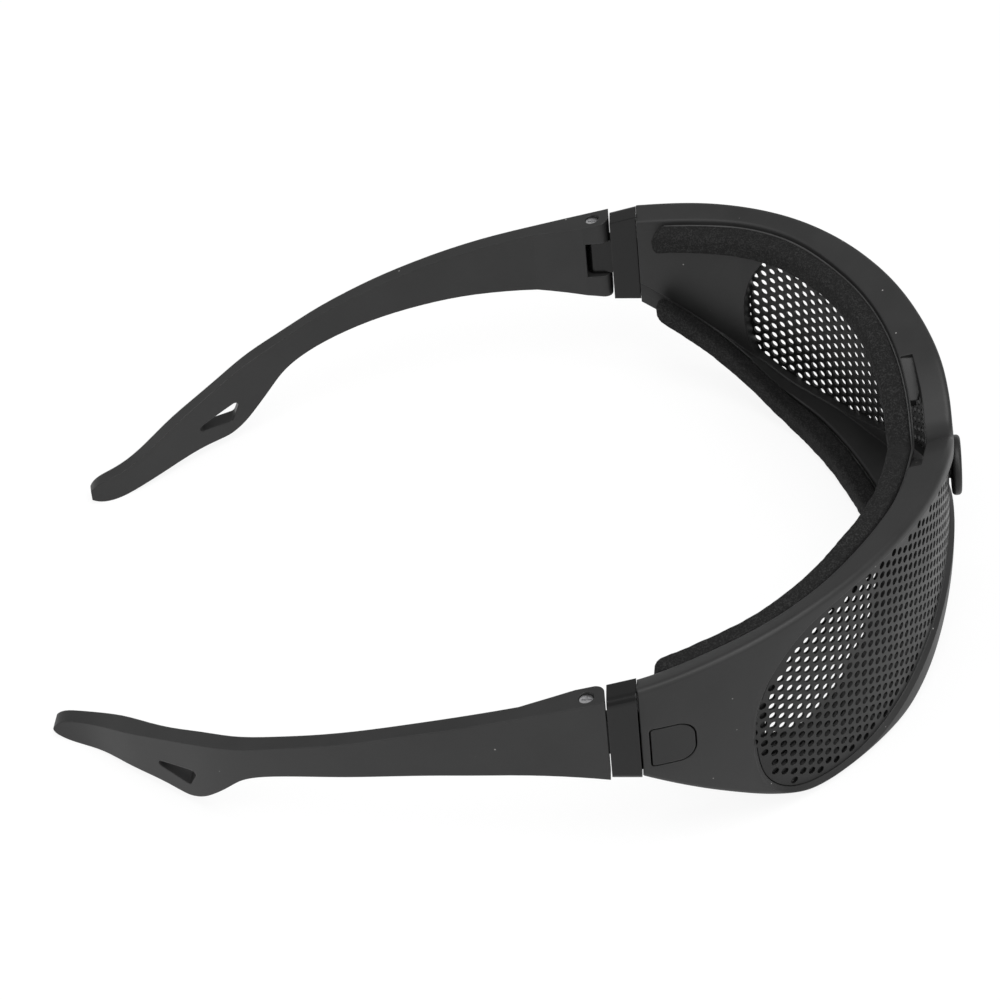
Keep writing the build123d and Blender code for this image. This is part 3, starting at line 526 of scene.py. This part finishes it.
# The perforated shield
def clamped_spline(points, start_slope, end_slope, steps):
    """Cubic spline through points, by chord length, with given directions at its two ends."""
    count = len(points)
    knots = [0.0]
    for a, b in zip(points, points[1:]):
        knots.append(knots[-1] + math.dist(a, b))
    gaps = [knots[i + 1] - knots[i] for i in range(count - 1)]
    curve = []
    for axis in range(2):
        values = [p[axis] for p in points]
        low, diag, high, right = [0.0] * count, [1.0] * count, [0.0] * count, [0.0] * count
        right[0], right[-1] = start_slope[axis], end_slope[axis]
        for i in range(1, count - 1):
            low[i], diag[i], high[i] = gaps[i], 2 * (gaps[i - 1] + gaps[i]), gaps[i - 1]
            right[i] = 3 * (gaps[i] * (values[i] - values[i - 1]) / gaps[i - 1]
                            + gaps[i - 1] * (values[i + 1] - values[i]) / gaps[i])
        for i in range(1, count):
            factor = low[i] / diag[i - 1]
            diag[i] -= factor * high[i - 1]
            right[i] -= factor * right[i - 1]
        slopes = [0.0] * count
        slopes[-1] = right[-1] / diag[-1]
        for i in range(count - 2, -1, -1):
            slopes[i] = (right[i] - high[i] * slopes[i + 1]) / diag[i]
        line = []
        for i in range(count - 1):
            for step in range(steps):
                t = step / steps
                line.append(
                    (2 * t**3 - 3 * t**2 + 1) * values[i]
                    + (t**3 - 2 * t**2 + t) * gaps[i] * slopes[i]
                    + (3 * t**2 - 2 * t**3) * values[i + 1]
                    + (t**3 - t**2) * gaps[i] * slopes[i + 1]
                )
        line.append(values[-1])
        curve.append(line)
    return list(zip(*curve))


def seat_curve(steps):
    """Half of the seat's outline, seen square to its middle: place across and height."""
    view = math.radians(SEAT_VIEW_ANGLE)
    seen = [(SHEET_OUTER_RADIUS * math.sin(math.radians(a) - view), h * BROW_HEIGHT)
            for a, h in SEAT_ANGLES_AND_HEIGHT_SHARES]
    return clamped_spline(seen, (1.0, 0.0), (-1.0, 0.0), steps)


def stem_hole_outline():
    """Outline of the hole for the centre button's stem: place across and height."""
    turns = [math.tau * i / STEM_HOLE_SIDES for i in range(STEM_HOLE_SIDES)]
    return [(STEM_HOLE_RADIUS * math.cos(turn), BUTTON_HEIGHT + STEM_HOLE_RADIUS * math.sin(turn))
            for turn in turns]


def shield_outline():
    """Unrolled outline of the whole sheet: arc length across and height."""
    view = math.radians(SEAT_VIEW_ANGLE)
    line = seat_curve(8)
    drawn_in = []
    for i, point in enumerate(line):
        before, after = line[max(i - 1, 0)], line[min(i + 1, len(line) - 1)]
        run = Vector((after[0] - before[0], after[1] - before[1])).normalized()
        drawn_in.append(
            (point[0] + run.y * SHEET_EDGE_INSET, point[1] - run.x * SHEET_EDGE_INSET))
    half = [(SHEET_OUTER_RADIUS * (math.asin(x / SHEET_OUTER_RADIUS) + view), z)
            for x, z in drawn_in]
    tab = SHEET_OUTER_RADIUS * math.radians(TAB_END_ANGLE)
    top = [p for p in half if p[1] > TAB_HIGH]
    bottom = [p for p in half if p[1] < TAB_LOW]
    edge = max(p[0] for p in half) - 0.1 * MM
    right = top + [(edge, TAB_HIGH), (tab, TAB_HIGH), (tab, TAB_LOW), (edge, TAB_LOW)] + bottom
    right = [p for p in right if p[0] > 0.05 * MM]
    left = [(-x, z) for x, z in reversed(right)]
    return right + left


def perforation_tree():
    """Geometry nodes that punch staggered round holes in an outline and bend the sheet."""
    tree = bpy.data.node_groups.new("perforated_sheet", "GeometryNodeTree")
    face = tree.interface
    face.new_socket("Geometry", in_out="INPUT", socket_type="NodeSocketGeometry")
    for label, kind, value in (
        ("Pitch", "NodeSocketFloat", HOLE_PITCH),
        ("Hole Diameter", "NodeSocketFloat", HOLE_DIAMETER),
        ("Edge Margin", "NodeSocketFloat", HOLE_EDGE_MARGIN),
        ("Sheet Radius", "NodeSocketFloat", SHEET_OUTER_RADIUS),
        ("Axis Y", "NodeSocketFloat", WRAP_Y),
        ("Middle Height", "NodeSocketFloat", BUTTON_HEIGHT),
        ("Columns", "NodeSocketInt", 83),
        ("Rows", "NodeSocketInt", 45),
        ("Hole Sides", "NodeSocketInt", 14),
        ("Material", "NodeSocketMaterial", None),
    ):
        socket = face.new_socket(label, in_out="INPUT", socket_type=kind)
        if value is not None:
            socket.default_value = value
    face.new_socket("Geometry", in_out="OUTPUT", socket_type="NodeSocketGeometry")
    nodes = Nodes(tree)
    given = nodes.add("NodeGroupInput")
    out = nodes.add("NodeGroupOutput")
    pitch = given.outputs["Pitch"]
    column_pitch = nodes.math("MULTIPLY", pitch, math.sqrt(3) / 2)
    width = nodes.math("MULTIPLY", column_pitch,
                       nodes.math("SUBTRACT", given.outputs["Columns"], 1.0))
    tall = nodes.math("MULTIPLY", pitch, nodes.math("SUBTRACT", given.outputs["Rows"], 1.0))
    grid = nodes.add("GeometryNodeMeshGrid", {
        "Size X": width, "Size Y": tall, "Vertices X": given.outputs["Columns"],
        "Vertices Y": given.outputs["Rows"]})
    index = nodes.add("GeometryNodeInputIndex").outputs[0]
    column = nodes.math("FLOOR", nodes.math("DIVIDE", index, given.outputs["Rows"]))
    odd = nodes.math("MODULO", column, 2.0)
    half_pitch = nodes.math("MULTIPLY", pitch, 0.5)
    stagger = nodes.math("MULTIPLY", odd, half_pitch)
    lift = nodes.math("ADD", given.outputs["Middle Height"], stagger)
    shift = nodes.add("ShaderNodeCombineXYZ", {"X": 0.0, "Y": lift, "Z": 0.0})
    staggered = nodes.add("GeometryNodeSetPosition", {
        "Geometry": grid.outputs[0], "Offset": shift.outputs[0]})
    points = nodes.add("GeometryNodeMeshToPoints", {"Mesh": staggered.outputs[0]})
    filled = nodes.add("GeometryNodeFillCurve", {"Curve": given.outputs["Geometry"]})
    wire = nodes.add("GeometryNodeCurveToMesh", {"Curve": given.outputs["Geometry"]})
    place = nodes.add("GeometryNodeInputPosition").outputs[0]
    above = nodes.vector("ADD", place, (0.0, 0.0, 1.0))
    ray = nodes.add("GeometryNodeRaycast", {
        "Target Geometry": filled.outputs[0], "Source Position": above,
        "Ray Direction": (0.0, 0.0, -1.0), "Ray Length": 2.0})
    near = nodes.add("GeometryNodeProximity", target_element="EDGES")
    tree.links.new(wire.outputs[0], near.inputs[0])
    radius = nodes.math("MULTIPLY", given.outputs["Hole Diameter"], 0.5)
    room = nodes.math("ADD", radius, given.outputs["Edge Margin"])
    clear = nodes.math("GREATER_THAN", near.outputs["Distance"], room)
    kept = nodes.math("MULTIPLY", clear, ray.outputs["Is Hit"])
    circle = nodes.add("GeometryNodeCurvePrimitiveCircle", {
        "Resolution": given.outputs["Hole Sides"], "Radius": radius})
    holes = nodes.add("GeometryNodeInstanceOnPoints", {
        "Points": points.outputs[0], "Selection": kept, "Instance": circle.outputs["Curve"]})
    real = nodes.add("GeometryNodeRealizeInstances", {"Geometry": holes.outputs[0]})
    joined = nodes.add("GeometryNodeJoinGeometry")
    tree.links.new(real.outputs[0], joined.inputs[0])
    tree.links.new(given.outputs["Geometry"], joined.inputs[0])
    punched = nodes.add("GeometryNodeFillCurve", {"Curve": joined.outputs[0]})
    split = nodes.add("ShaderNodeSeparateXYZ", {0: place})
    angle = nodes.math("DIVIDE", split.outputs["X"], given.outputs["Sheet Radius"])
    bent_x = nodes.math("MULTIPLY", given.outputs["Sheet Radius"], nodes.math("SINE", angle))
    ahead = nodes.math("MULTIPLY", given.outputs["Sheet Radius"], nodes.math("COSINE", angle))
    bent_y = nodes.math("SUBTRACT", given.outputs["Axis Y"], ahead)
    bent = nodes.add("ShaderNodeCombineXYZ", {"X": bent_x, "Y": bent_y, "Z": split.outputs["Y"]})
    sheet = nodes.add("GeometryNodeSetPosition", {
        "Geometry": punched.outputs[0], "Position": bent.outputs[0]})
    whole = nodes.add("GeometryNodeRealizeInstances", {"Geometry": sheet.outputs[0]})
    finished = nodes.add("GeometryNodeSetMaterial", {
        "Geometry": whole.outputs[0], "Material": given.outputs["Material"]})
    tree.links.new(finished.outputs[0], out.inputs[0])
    return tree


def make_shield():
    """The perforated sheet with every hole, in place of the solid with fewer, larger holes."""
    data = bpy.data.curves.new("sheet_outline", "CURVE")
    data.dimensions = "3D"
    for line in (shield_outline(), stem_hole_outline()):
        spline = data.splines.new("POLY")
        spline.points.add(len(line) - 1)
        for point, (u, v) in zip(spline.points, line):
            point.co = (u, v, 0.0, 1.0)
        spline.use_cyclic_u = True
    outline = link(bpy.data.objects.new("sheet_outline", data))
    modifier = outline.modifiers.new("perforate", "NODES")
    tree = perforation_tree()
    modifier.node_group = tree
    sockets = {item.name: item.identifier for item in tree.interface.items_tree
               if item.in_out == "INPUT"}
    modifier[sockets["Material"]] = SHEET_STEEL
    flat = applied(outline, "perforated_shield")
    rim = bmesh.new()
    rim.from_mesh(flat.data)
    bmesh.ops.recalc_face_normals(rim, faces=rim.faces)
    rim.faces.ensure_lookup_table()
    middle = rim.faces[0].calc_center_median()
    outward = Vector((middle.x, middle.y - WRAP_Y, 0.0))
    if rim.faces[0].normal.dot(outward) < 0:
        bmesh.ops.reverse_faces(rim, faces=rim.faces)
    rim.to_mesh(flat.data)
    rim.free()
    wall = flat.modifiers.new("gauge", "SOLIDIFY")
    wall.thickness = SHEET_GAUGE
    wall.offset = -1.0
    sheet = applied(flat, "perforated_shield")
    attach(sheet, "front")
    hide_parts("mesh_shield")
    print("shield triangles", sum(len(p.vertices) - 2 for p in sheet.data.polygons))


# The moulded front
def smooth_table(points, even=False):
    """Smooth curve through a table of places and values; an even one is mirrored about zero."""
    places = [float(p[0]) for p in points]
    values = [float(p[1]) for p in points]
    if even:
        places = [-places[1]] + places
        values = [values[1]] + values
    slopes = []
    for i in range(len(places)):
        low, high = max(i - 1, 0), min(i + 1, len(places) - 1)
        slopes.append((values[high] - values[low]) / (places[high] - places[low]))

    def value(place):
        if even:
            place = abs(place)
        place = min(max(place, places[0]), places[-1])
        i = min(max(int(np.searchsorted(places, place, side="right")) - 1, 0), len(places) - 2)
        gap = places[i + 1] - places[i]
        t = (place - places[i]) / gap
        return ((2 * t**3 - 3 * t**2 + 1) * values[i] + (t**3 - 2 * t**2 + t) * gap * slopes[i]
                + (3 * t**2 - 2 * t**3) * values[i + 1]
                + (t**3 - t**2) * gap * slopes[i + 1])

    return value


BROW_RADIUS = smooth_table(BROW_ANGLES_AND_SHARES, even=True)
SHELF_RADIUS = smooth_table(SHELF_ANGLES_AND_SHARES, even=True)
BROW_LINE = smooth_table(BROW_LINE_SHARES)
BROW_DIP = smooth_table(BROW_DIP_SHARES, even=True)
RIM_LINE = smooth_table(RIM_LINE_SHARES)
ARCH = smooth_table(ARCH_SHARES, even=True)
FACE_ARCH = smooth_table(FACE_ARCH_SHARES, even=True)


def blend_lower(a, b, width):
    """The lower of two heights, blended where they are nearly equal."""
    near = max(width - abs(a - b), 0.0) / width
    return min(a, b) - near * near * width / 4


def plan_place(angle, radius):
    """Plan place at an angle from the front, in radians, and a distance from the wrap's axis."""
    return radius * math.sin(angle), WRAP_Y - radius * math.cos(angle)


def top_height(x, y):
    """Height of the brow's upper face: side line, dip over the nose, slight outward rise."""
    line = BROW_LINE((FRAME_REAR_Y - y) / FRAME_DEPTH) * BROW_HEIGHT
    dip = BROW_DIP(x / WRAP_RADIUS) * BROW_HEIGHT
    radius = math.hypot(x, y - WRAP_Y)
    rise = min(max((radius - CROWN_START_RADIUS) / CROWN_WIDTH, 0.0), 1.0)
    return blend_lower(line, dip, TOP_BLEND) + TOP_CROWN * (rise - CROWN_SHARE_BELOW)


def rim_height(x, y):
    """Height of the lower rim: side line, and an arch over the nose, narrower at the face."""
    line = max(RIM_LINE((FRAME_REAR_Y - y) / FRAME_DEPTH), 0.0) * BROW_HEIGHT
    beyond_face = math.hypot(x, y - WRAP_Y) - ARCH_FACE_RADIUS
    outward = min(max(beyond_face / (ARCH_OUTER_RADIUS - ARCH_FACE_RADIUS), 0.0), 1.0)
    arch = ARCH(x / WRAP_RADIUS) * outward + FACE_ARCH(x / WRAP_RADIUS) * (1 - outward)
    arch = max(arch, 0.0) * ARCH_HEIGHT
    return max(0.0, -blend_lower(-line, -arch, RIM_BLEND))


def arc_points(centre, radius, start, end, steps):
    """Points of an arc in a section, from one angle to another."""
    return [(centre[0] + radius * math.cos(start + (end - start) * i / steps),
             centre[1] + radius * math.sin(start + (end - start) * i / steps))
            for i in range(steps + 1)]


def front_section(angle):
    """Section of the front at an angle: radius, measured from top or rim, and offset."""
    degrees = abs(math.degrees(angle))
    brow = BROW_RADIUS(degrees) * WRAP_RADIUS
    shelf = SHELF_RADIUS(degrees) * WRAP_RADIUS
    taper = (degrees - TAPER_START_ANGLE) / (TAPER_END_ANGLE - TAPER_START_ANGLE)
    wall = WALL_INNER_RADIUS + (TAPER_END_RADIUS - WALL_INNER_RADIUS) * min(max(taper, 0.0), 1.0)
    wall = max(wall, brow + 0.02 * MM, shelf + 0.02 * MM)
    groove = min(brow + FLANGE_THICKNESS, wall - 0.01 * MM)
    channel = min(shelf + FLANGE_THICKNESS, wall - 0.01 * MM)
    low, high, inner = BOTTOM_EDGE_ROUND, TOP_EDGE_ROUND, INNER_EDGE_ROUND
    quarter = math.pi / 2
    shelf_under = LOWER_SHELF_HEIGHT - SHELF_THICKNESS

    def rounded(base, centre, radius, start, steps):
        return [(r, base, z) for r, z in arc_points(centre, radius, start, start + quarter, steps)]

    return (
        rounded("rim", (WRAP_RADIUS - low, low), low, -quarter, 4)
        + rounded("top", (WRAP_RADIUS - high, -high), high, 0, 6)
        + rounded("top", (brow + inner, -inner), inner, quarter, 3)
        + [(brow, "top", -UPPER_FLANGE_HEIGHT), (groove, "top", -UPPER_FLANGE_HEIGHT),
           (groove, "top", -SHELF_THICKNESS), (wall, "top", -SHELF_THICKNESS),
           (wall, "rim", LOWER_SHELF_HEIGHT)]
        + rounded("rim", (shelf + inner, LOWER_SHELF_HEIGHT - inner), inner, quarter, 3)
        + [(shelf, "rim", 0.0), (channel, "rim", 0.0), (channel, "rim", shelf_under),
           (wall, "rim", shelf_under), (wall, "rim", 0.0)]
    )


def loft_mesh(name, rings, closed_ends=True):
    """Mesh through rings of points with the same count; the ends are closed with flat faces."""
    count = len(rings[0])
    work = bmesh.new()
    rows = [[work.verts.new(point) for point in ring] for ring in rings]
    for row, following in zip(rows, rows[1:]):
        for i in range(count):
            j = (i + 1) % count
            work.faces.new((row[i], row[j], following[j], following[i]))
    if closed_ends:
        work.faces.new(list(reversed(rows[0])))
        work.faces.new(rows[-1])
    bmesh.ops.remove_doubles(work, verts=work.verts, dist=0.001 * MM)
    bmesh.ops.recalc_face_normals(work, faces=work.faces)
    mesh = bpy.data.meshes.new(name)
    work.to_mesh(mesh)
    work.free()
    return mesh


def seat_loops():
    """Half of the seat's outline, from top to bottom: angle from the front and height."""
    view = math.radians(SEAT_VIEW_ANGLE)
    return [(math.asin(x / SHEET_OUTER_RADIUS) + view, z) for x, z in seat_curve(24)]


def offset_loop(loop, distance):
    """A half outline moved outward by a distance, measured on the sheet's outer face."""
    moved = []
    for i, (angle, height) in enumerate(loop):
        before, after = loop[max(i - 1, 0)], loop[min(i + 1, len(loop) - 1)]
        along = (after[0] - before[0]) * SHEET_OUTER_RADIUS
        run = Vector((along, after[1] - before[1])).normalized()
        moved.append((angle - run.y * distance / SHEET_OUTER_RADIUS, height + run.x * distance))
    return moved


def chains(loop, angles):
    """Heights of a half outline's bottom and top at given angles."""
    turn = max(range(len(loop)), key=lambda i: loop[i][0])
    top, bottom = loop[:turn + 1], list(reversed(loop[turn:]))
    highs = np.interp(angles, [p[0] for p in top], [p[1] for p in top])
    lows = np.interp(angles, [p[0] for p in bottom], [p[1] for p in bottom])
    return lows, highs


def slab_mesh(name, levels):
    """Closed slab round the wrap: for each level a radius and stations of (angle, low, high)."""
    rings = []
    count = len(levels[0][1])
    for k in range(count):
        ring = []
        for radius, stations in levels:
            angle, low, high = stations[k]
            ring.append((*plan_place(angle, radius), low))
        for radius, stations in reversed(levels):
            angle, low, high = stations[k]
            ring.append((*plan_place(angle, radius), high))
        rings.append(ring)
    return loft_mesh(name, rings)


def end_spacing(start, end, count):
    """Angles from start to end, closer together near the end."""
    return [start + (end - start) * math.sin(math.pi / 2 * i / (count - 1)) for i in range(count)]


def seat_cutter():
    """The recess for the sheet, across both halves, with a bevelled edge."""
    loop = seat_loops()
    levels = []
    bevel_start = WRAP_RADIUS - SEAT_BEVEL
    for radius in (SEAT_RADIUS, bevel_start, WRAP_RADIUS + 4 * MM):
        grown = offset_loop(loop, max(radius - bevel_start, 0.0))
        reach = max(p[0] for p in grown) - 1e-5
        angles = end_spacing(0.0, reach, 70)
        lows, highs = chains(grown, angles)
        half = [(a, low, high) for a, low, high in zip(angles, lows, highs)]
        levels.append((radius, [(-a, low, high) for a, low, high in reversed(half[1:])] + half))
    return slab_mesh("seat_cutter", levels)


def window_stations():
    """Angle, bottom and top of the opening behind the sheet, one half."""
    inset = offset_loop(seat_loops(), -WINDOW_LEDGE)
    start = math.asin(POST_HALF_WIDTH / WRAP_RADIUS)
    reach = max(p[0] for p in inset) - 1e-5
    angles = end_spacing(start, reach, 60)
    lows, highs = chains(inset, angles)
    kept = []
    for angle, low, high in zip(angles, lows, highs):
        x, y = plan_place(angle, WALL_INNER_RADIUS)
        low = max(low, rim_height(x, y) + LOWER_SHELF_HEIGHT + WINDOW_SILL)
        high = min(high, top_height(x, y) - UPPER_FLANGE_HEIGHT - WINDOW_SILL)
        if high - low > 0.5 * MM:
            kept.append((angle, low, high))
    return kept


def side_frame(side):
    """Origin, rearward and outward directions of the wall at the release button."""
    angle = math.radians(BUTTON_ANGLE)
    origin = Vector((side * WRAP_RADIUS * math.sin(angle),
                     WRAP_Y - WRAP_RADIUS * math.cos(angle), 0.0))
    rearward = Vector((side * math.cos(angle), math.sin(angle), 0.0))
    outward = Vector((side * math.sin(angle), -math.cos(angle), 0.0))
    return origin, rearward, outward


def side_prism(name, side, outline, inner, outer):
    """Prism square to the wall at the release button, from an outline of (rearward, height)."""
    origin, rearward, outward = side_frame(side)
    rings = [[origin + rearward * u + Vector((0, 0, z)) + outward * depth for u, z in outline]
             for depth in (inner, outer)]
    return loft_mesh(name, rings)


def button_outline(growth):
    """D-shaped outline of the release button's window."""
    half_width, half_tall = BUTTON_WIDTH / 2 + growth, BUTTON_TALL / 2 + growth
    front, rear = BUTTON_FRONT_ROUND + growth, BUTTON_REAR_ROUND + growth
    low, high = BUTTON_MIDDLE_HEIGHT - half_tall, BUTTON_MIDDLE_HEIGHT + half_tall
    quarter = math.pi / 2
    return (
        arc_points((half_width - rear, low + rear), rear, -quarter, 0, 4)
        + arc_points((half_width - rear, high - rear), rear, 0, quarter, 4)
        + arc_points((-half_width + front, high - front), front, quarter, 2 * quarter, 8)
        + arc_points((-half_width + front, low + front), front, 2 * quarter, 3 * quarter, 8)
    )


def joined_cutter(name, meshes):
    work = bmesh.new()
    for mesh in meshes:
        work.from_mesh(mesh)
    joined = bpy.data.meshes.new(name)
    work.to_mesh(joined)
    work.free()
    return mesh_object(name, joined)


def cut_away(piece, name, meshes):
    """Cuts solids out of a piece with the exact solver."""
    cutter = joined_cutter("cutter", meshes)
    step = piece.modifiers.new("cut", "BOOLEAN")
    step.operation = "DIFFERENCE"
    step.solver = "EXACT"
    step.object = cutter
    piece = applied(piece, name)
    bpy.data.objects.remove(cutter, do_unlink=True)
    return piece


def vent_cutter():
    """The scoop in the brow: a ramp from each end and a through slot, along the foam's edge."""
    profile = [(VENT_HALF_LENGTH, VENT_END_HEIGHT),
               (VENT_FLOOR_HALF_LENGTH + VENT_STEP, VENT_FLOOR_HEIGHT),
               (VENT_FLOOR_HALF_LENGTH, VENT_DEEP)]
    middle = [(VENT_FLOOR_HALF_LENGTH * i / 4, VENT_DEEP) for i in range(-3, 4)]
    stations = [(-x, z) for x, z in profile] + middle + list(reversed(profile))
    rings = []
    for x, low in stations:
        ring = []
        for inset in (VENT_REAR_INSET, VENT_FRONT_INSET):
            angle = math.asin(x / VENT_BEND_RADIUS)
            radius = BROW_RADIUS(math.degrees(angle)) * WRAP_RADIUS + inset
            ring.append((x, WRAP_Y - math.sqrt(radius * radius - x * x), low))
        rings.append(ring + [(px, py, VENT_CUT_TOP) for px, py, _ in reversed(ring)])
    return loft_mesh("vent_cutter", rings)


def front_rings():
    """Rings of the front's loft, from one rear end to the other."""
    rings = []
    for step in range(FRONT_STATIONS):
        share = 2 * step / (FRONT_STATIONS - 1) - 1
        ring = []
        for radius, base, offset in front_section(share * math.radians(FRONT_HALF_ANGLE)):
            lip = GAP_LIP_LENGTH if radius < GAP_LIP_RADIUS else 0.0
            end = math.acos((WRAP_Y - FRAME_REAR_Y - lip) / radius)
            x, y = plan_place(share * end, radius)
            height = top_height(x, y) if base == "top" else rim_height(x, y)
            ring.append((x, y, height + offset))
        rings.append(ring)
    return rings


def both_sides(name, outline, inner, outer):
    """The same prism square to the wall on each side."""
    return [side_prism(name, side, outline, inner, outer) for side in (-1, 1)]


def window_cutters():
    """The openings behind the sheet, left and right, and the hole for the stem."""
    left = window_stations()
    right = [(-angle, low, high) for angle, low, high in left]
    windows = [slab_mesh("window", [(radius, half) for radius in WINDOW_CUT_RADII])
               for half in (left, right)]
    outline = stem_hole_outline()
    stem = [[(x, WRAP_Y - depth, z) for x, z in outline] for depth in STEM_CUT_DEPTHS]
    return windows + [loft_mesh("stem_hole", stem)]


def make_front():
    """The moulded front with its edges, seat, windows, sockets and vent, for the plain solid."""
    name = "front_moulding"
    front = mesh_object(name, loft_mesh(name, front_rings()))
    low = BUTTON_MIDDLE_HEIGHT - SOCKET_HALF_HEIGHT
    high = BUTTON_MIDDLE_HEIGHT + SOCKET_HALF_HEIGHT
    socket = [(SOCKET_FRONT, low), (SOCKET_REAR, low), (SOCKET_REAR, high), (SOCKET_FRONT, high)]
    front = cut_away(front, name, [seat_cutter()])
    front = cut_away(front, name, [vent_cutter()] + both_sides(
        "socket", socket, SOCKET_INNER_DEPTH, SOCKET_OUTER_DEPTH))
    front = cut_away(front, name, window_cutters() + both_sides(
        "button_window", button_outline(BUTTON_WINDOW_GAP), *BUTTON_WINDOW_DEPTHS))
    work = bmesh.new()
    work.from_mesh(front.data)
    bmesh.ops.remove_doubles(work, verts=work.verts, dist=MERGE_DISTANCE)
    bmesh.ops.dissolve_degenerate(work, edges=work.edges, dist=MERGE_DISTANCE)
    for face in work.faces:
        face.smooth = True
    work.to_mesh(front.data)
    work.free()
    front.data.set_sharp_from_angle(angle=math.radians(SHARP_ANGLE))
    front.data.materials.clear()
    front.data.materials.append(FRAME_PLASTIC)
    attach(front, "front")
    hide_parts("frame")
    print("front triangles", sum(len(p.vertices) - 2 for p in front.data.polygons))


# Tapes and foam strips
def strip_section(thickness, height, corner, spacing):
    """Section of a strip about its middle: plain, or with rounded corners and filled sides."""
    if corner == 0:
        return [(thickness / 2, -height / 2), (thickness / 2, height / 2),
                (-thickness / 2, height / 2), (-thickness / 2, -height / 2)]
    quarter = math.pi / 2
    flat_r, flat_z = thickness / 2 - corner, height / 2 - corner
    section = []
    for turn, (sign_r, sign_z) in enumerate(((1, -1), (1, 1), (-1, 1), (-1, -1))):
        start = (turn - 1) * quarter
        centre = (sign_r * flat_r, sign_z * flat_z)
        section += arc_points(centre, corner, start, start + quarter, 5)
    filled = []
    for (r0, z0), (r1, z1) in zip(section, section[1:] + section[:1]):
        parts = max(1, int(math.hypot(r1 - r0, z1 - z0) / spacing))
        filled += [(r0 + (r1 - r0) * i / parts, z0 + (z1 - z0) * i / parts)
                   for i in range(parts)]
    return filled


def strip_rings(edge_radius, base, gap, thickness, start_offset, height, rear_y, corner, spacing):
    """Rings of a strip along the front's inner edge; rounded corners also round its ends."""
    rear = math.acos((WRAP_Y - rear_y) / (STRIP_REAR_SHARE * WRAP_RADIUS))
    stations = int(2 * rear * STRIP_MEAN_RADIUS / spacing) + 1
    section = strip_section(thickness, height, corner, spacing)
    upward = -1 if base == "top" else 1
    rings = []
    for step in range(stations):
        share = 2 * step / (stations - 1) - 1
        angle = share * rear
        from_end = (1 - abs(share)) * rear * STRIP_MEAN_RADIUS
        squeeze = 1.0
        if corner > 0 and from_end < STRIP_END_TAPER:
            squeeze = math.sqrt(max(1 - (1 - from_end / STRIP_END_TAPER) ** 2, STRIP_END_THINNEST))
        middle = edge_radius(math.degrees(angle)) * WRAP_RADIUS - gap - thickness / 2
        ring = []
        for r, z in section:
            x, y = plan_place(angle, middle + r * squeeze)
            level = top_height(x, y) if base == "top" else rim_height(x, y)
            ring.append((x, y, level + start_offset + (height / 2 + z * squeeze) * upward))
        rings.append(ring)
    return rings


def make_tape(node, edge_radius, base, start_offset, height):
    """A thin plain strip between the front's inner edge and the foam."""
    name = node + "_film"
    rings = strip_rings(edge_radius, base, 0.0, TAPE_THICKNESS, start_offset, height,
                        FOAM_REAR_Y - TAPE_END_INSET, 0.0, TAPE_SPACING)
    piece = mesh_object(name, loft_mesh(name, rings))
    piece.data.materials.append(TAPE_FILM)
    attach(piece, "front")
    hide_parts(node)


def make_foam(node, edge_radius, base, height, seed):
    """A soft strip along the front's inner edge, with rounded edges and an uneven surface."""
    name = node + "_soft"
    drop = -FOAM_DROP if base == "top" else FOAM_DROP
    mesh = loft_mesh(name, strip_rings(edge_radius, base, TAPE_THICKNESS, FOAM_THICKNESS, drop,
                                       height, FOAM_REAR_Y, FOAM_CORNER, FOAM_SPACING))
    work = bmesh.new()
    work.from_mesh(mesh)
    bmesh.ops.triangulate(work, faces=[f for f in work.faces if len(f.verts) > 4])
    work.normal_update()
    offset = Vector((seed * 3.1, seed * 1.7, seed * 0.9))
    for vert in work.verts:
        waves = noise.noise(vert.co * FOAM_WAVE_SCALE + offset) * FOAM_WAVE_HEIGHT
        pores = noise.noise(vert.co * FOAM_PORE_SCALE + offset) * FOAM_PORE_HEIGHT
        vert.co += vert.normal * (waves + pores) * MM
    for face in work.faces:
        face.smooth = True
    work.to_mesh(mesh)
    work.free()
    piece = mesh_object(name, mesh)
    piece.data.materials.append(FOAM)
    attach(piece, "front")
    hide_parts(node)


place_camera()
lay_floor()
light_scene()
dress_nodes()
make_front()
make_shield()
make_tape("upper_foam_tape", BROW_RADIUS, "top", -UPPER_TAPE_DROP, UPPER_TAPE_HEIGHT)
make_tape("lower_foam_tape", SHELF_RADIUS, "rim", LOWER_TAPE_RISE, LOWER_TAPE_HEIGHT)
make_foam("upper_foam", BROW_RADIUS, "top", UPPER_FOAM_HEIGHT, 1)
make_foam("lower_foam", SHELF_RADIUS, "rim", LOWER_FOAM_HEIGHT, 2)
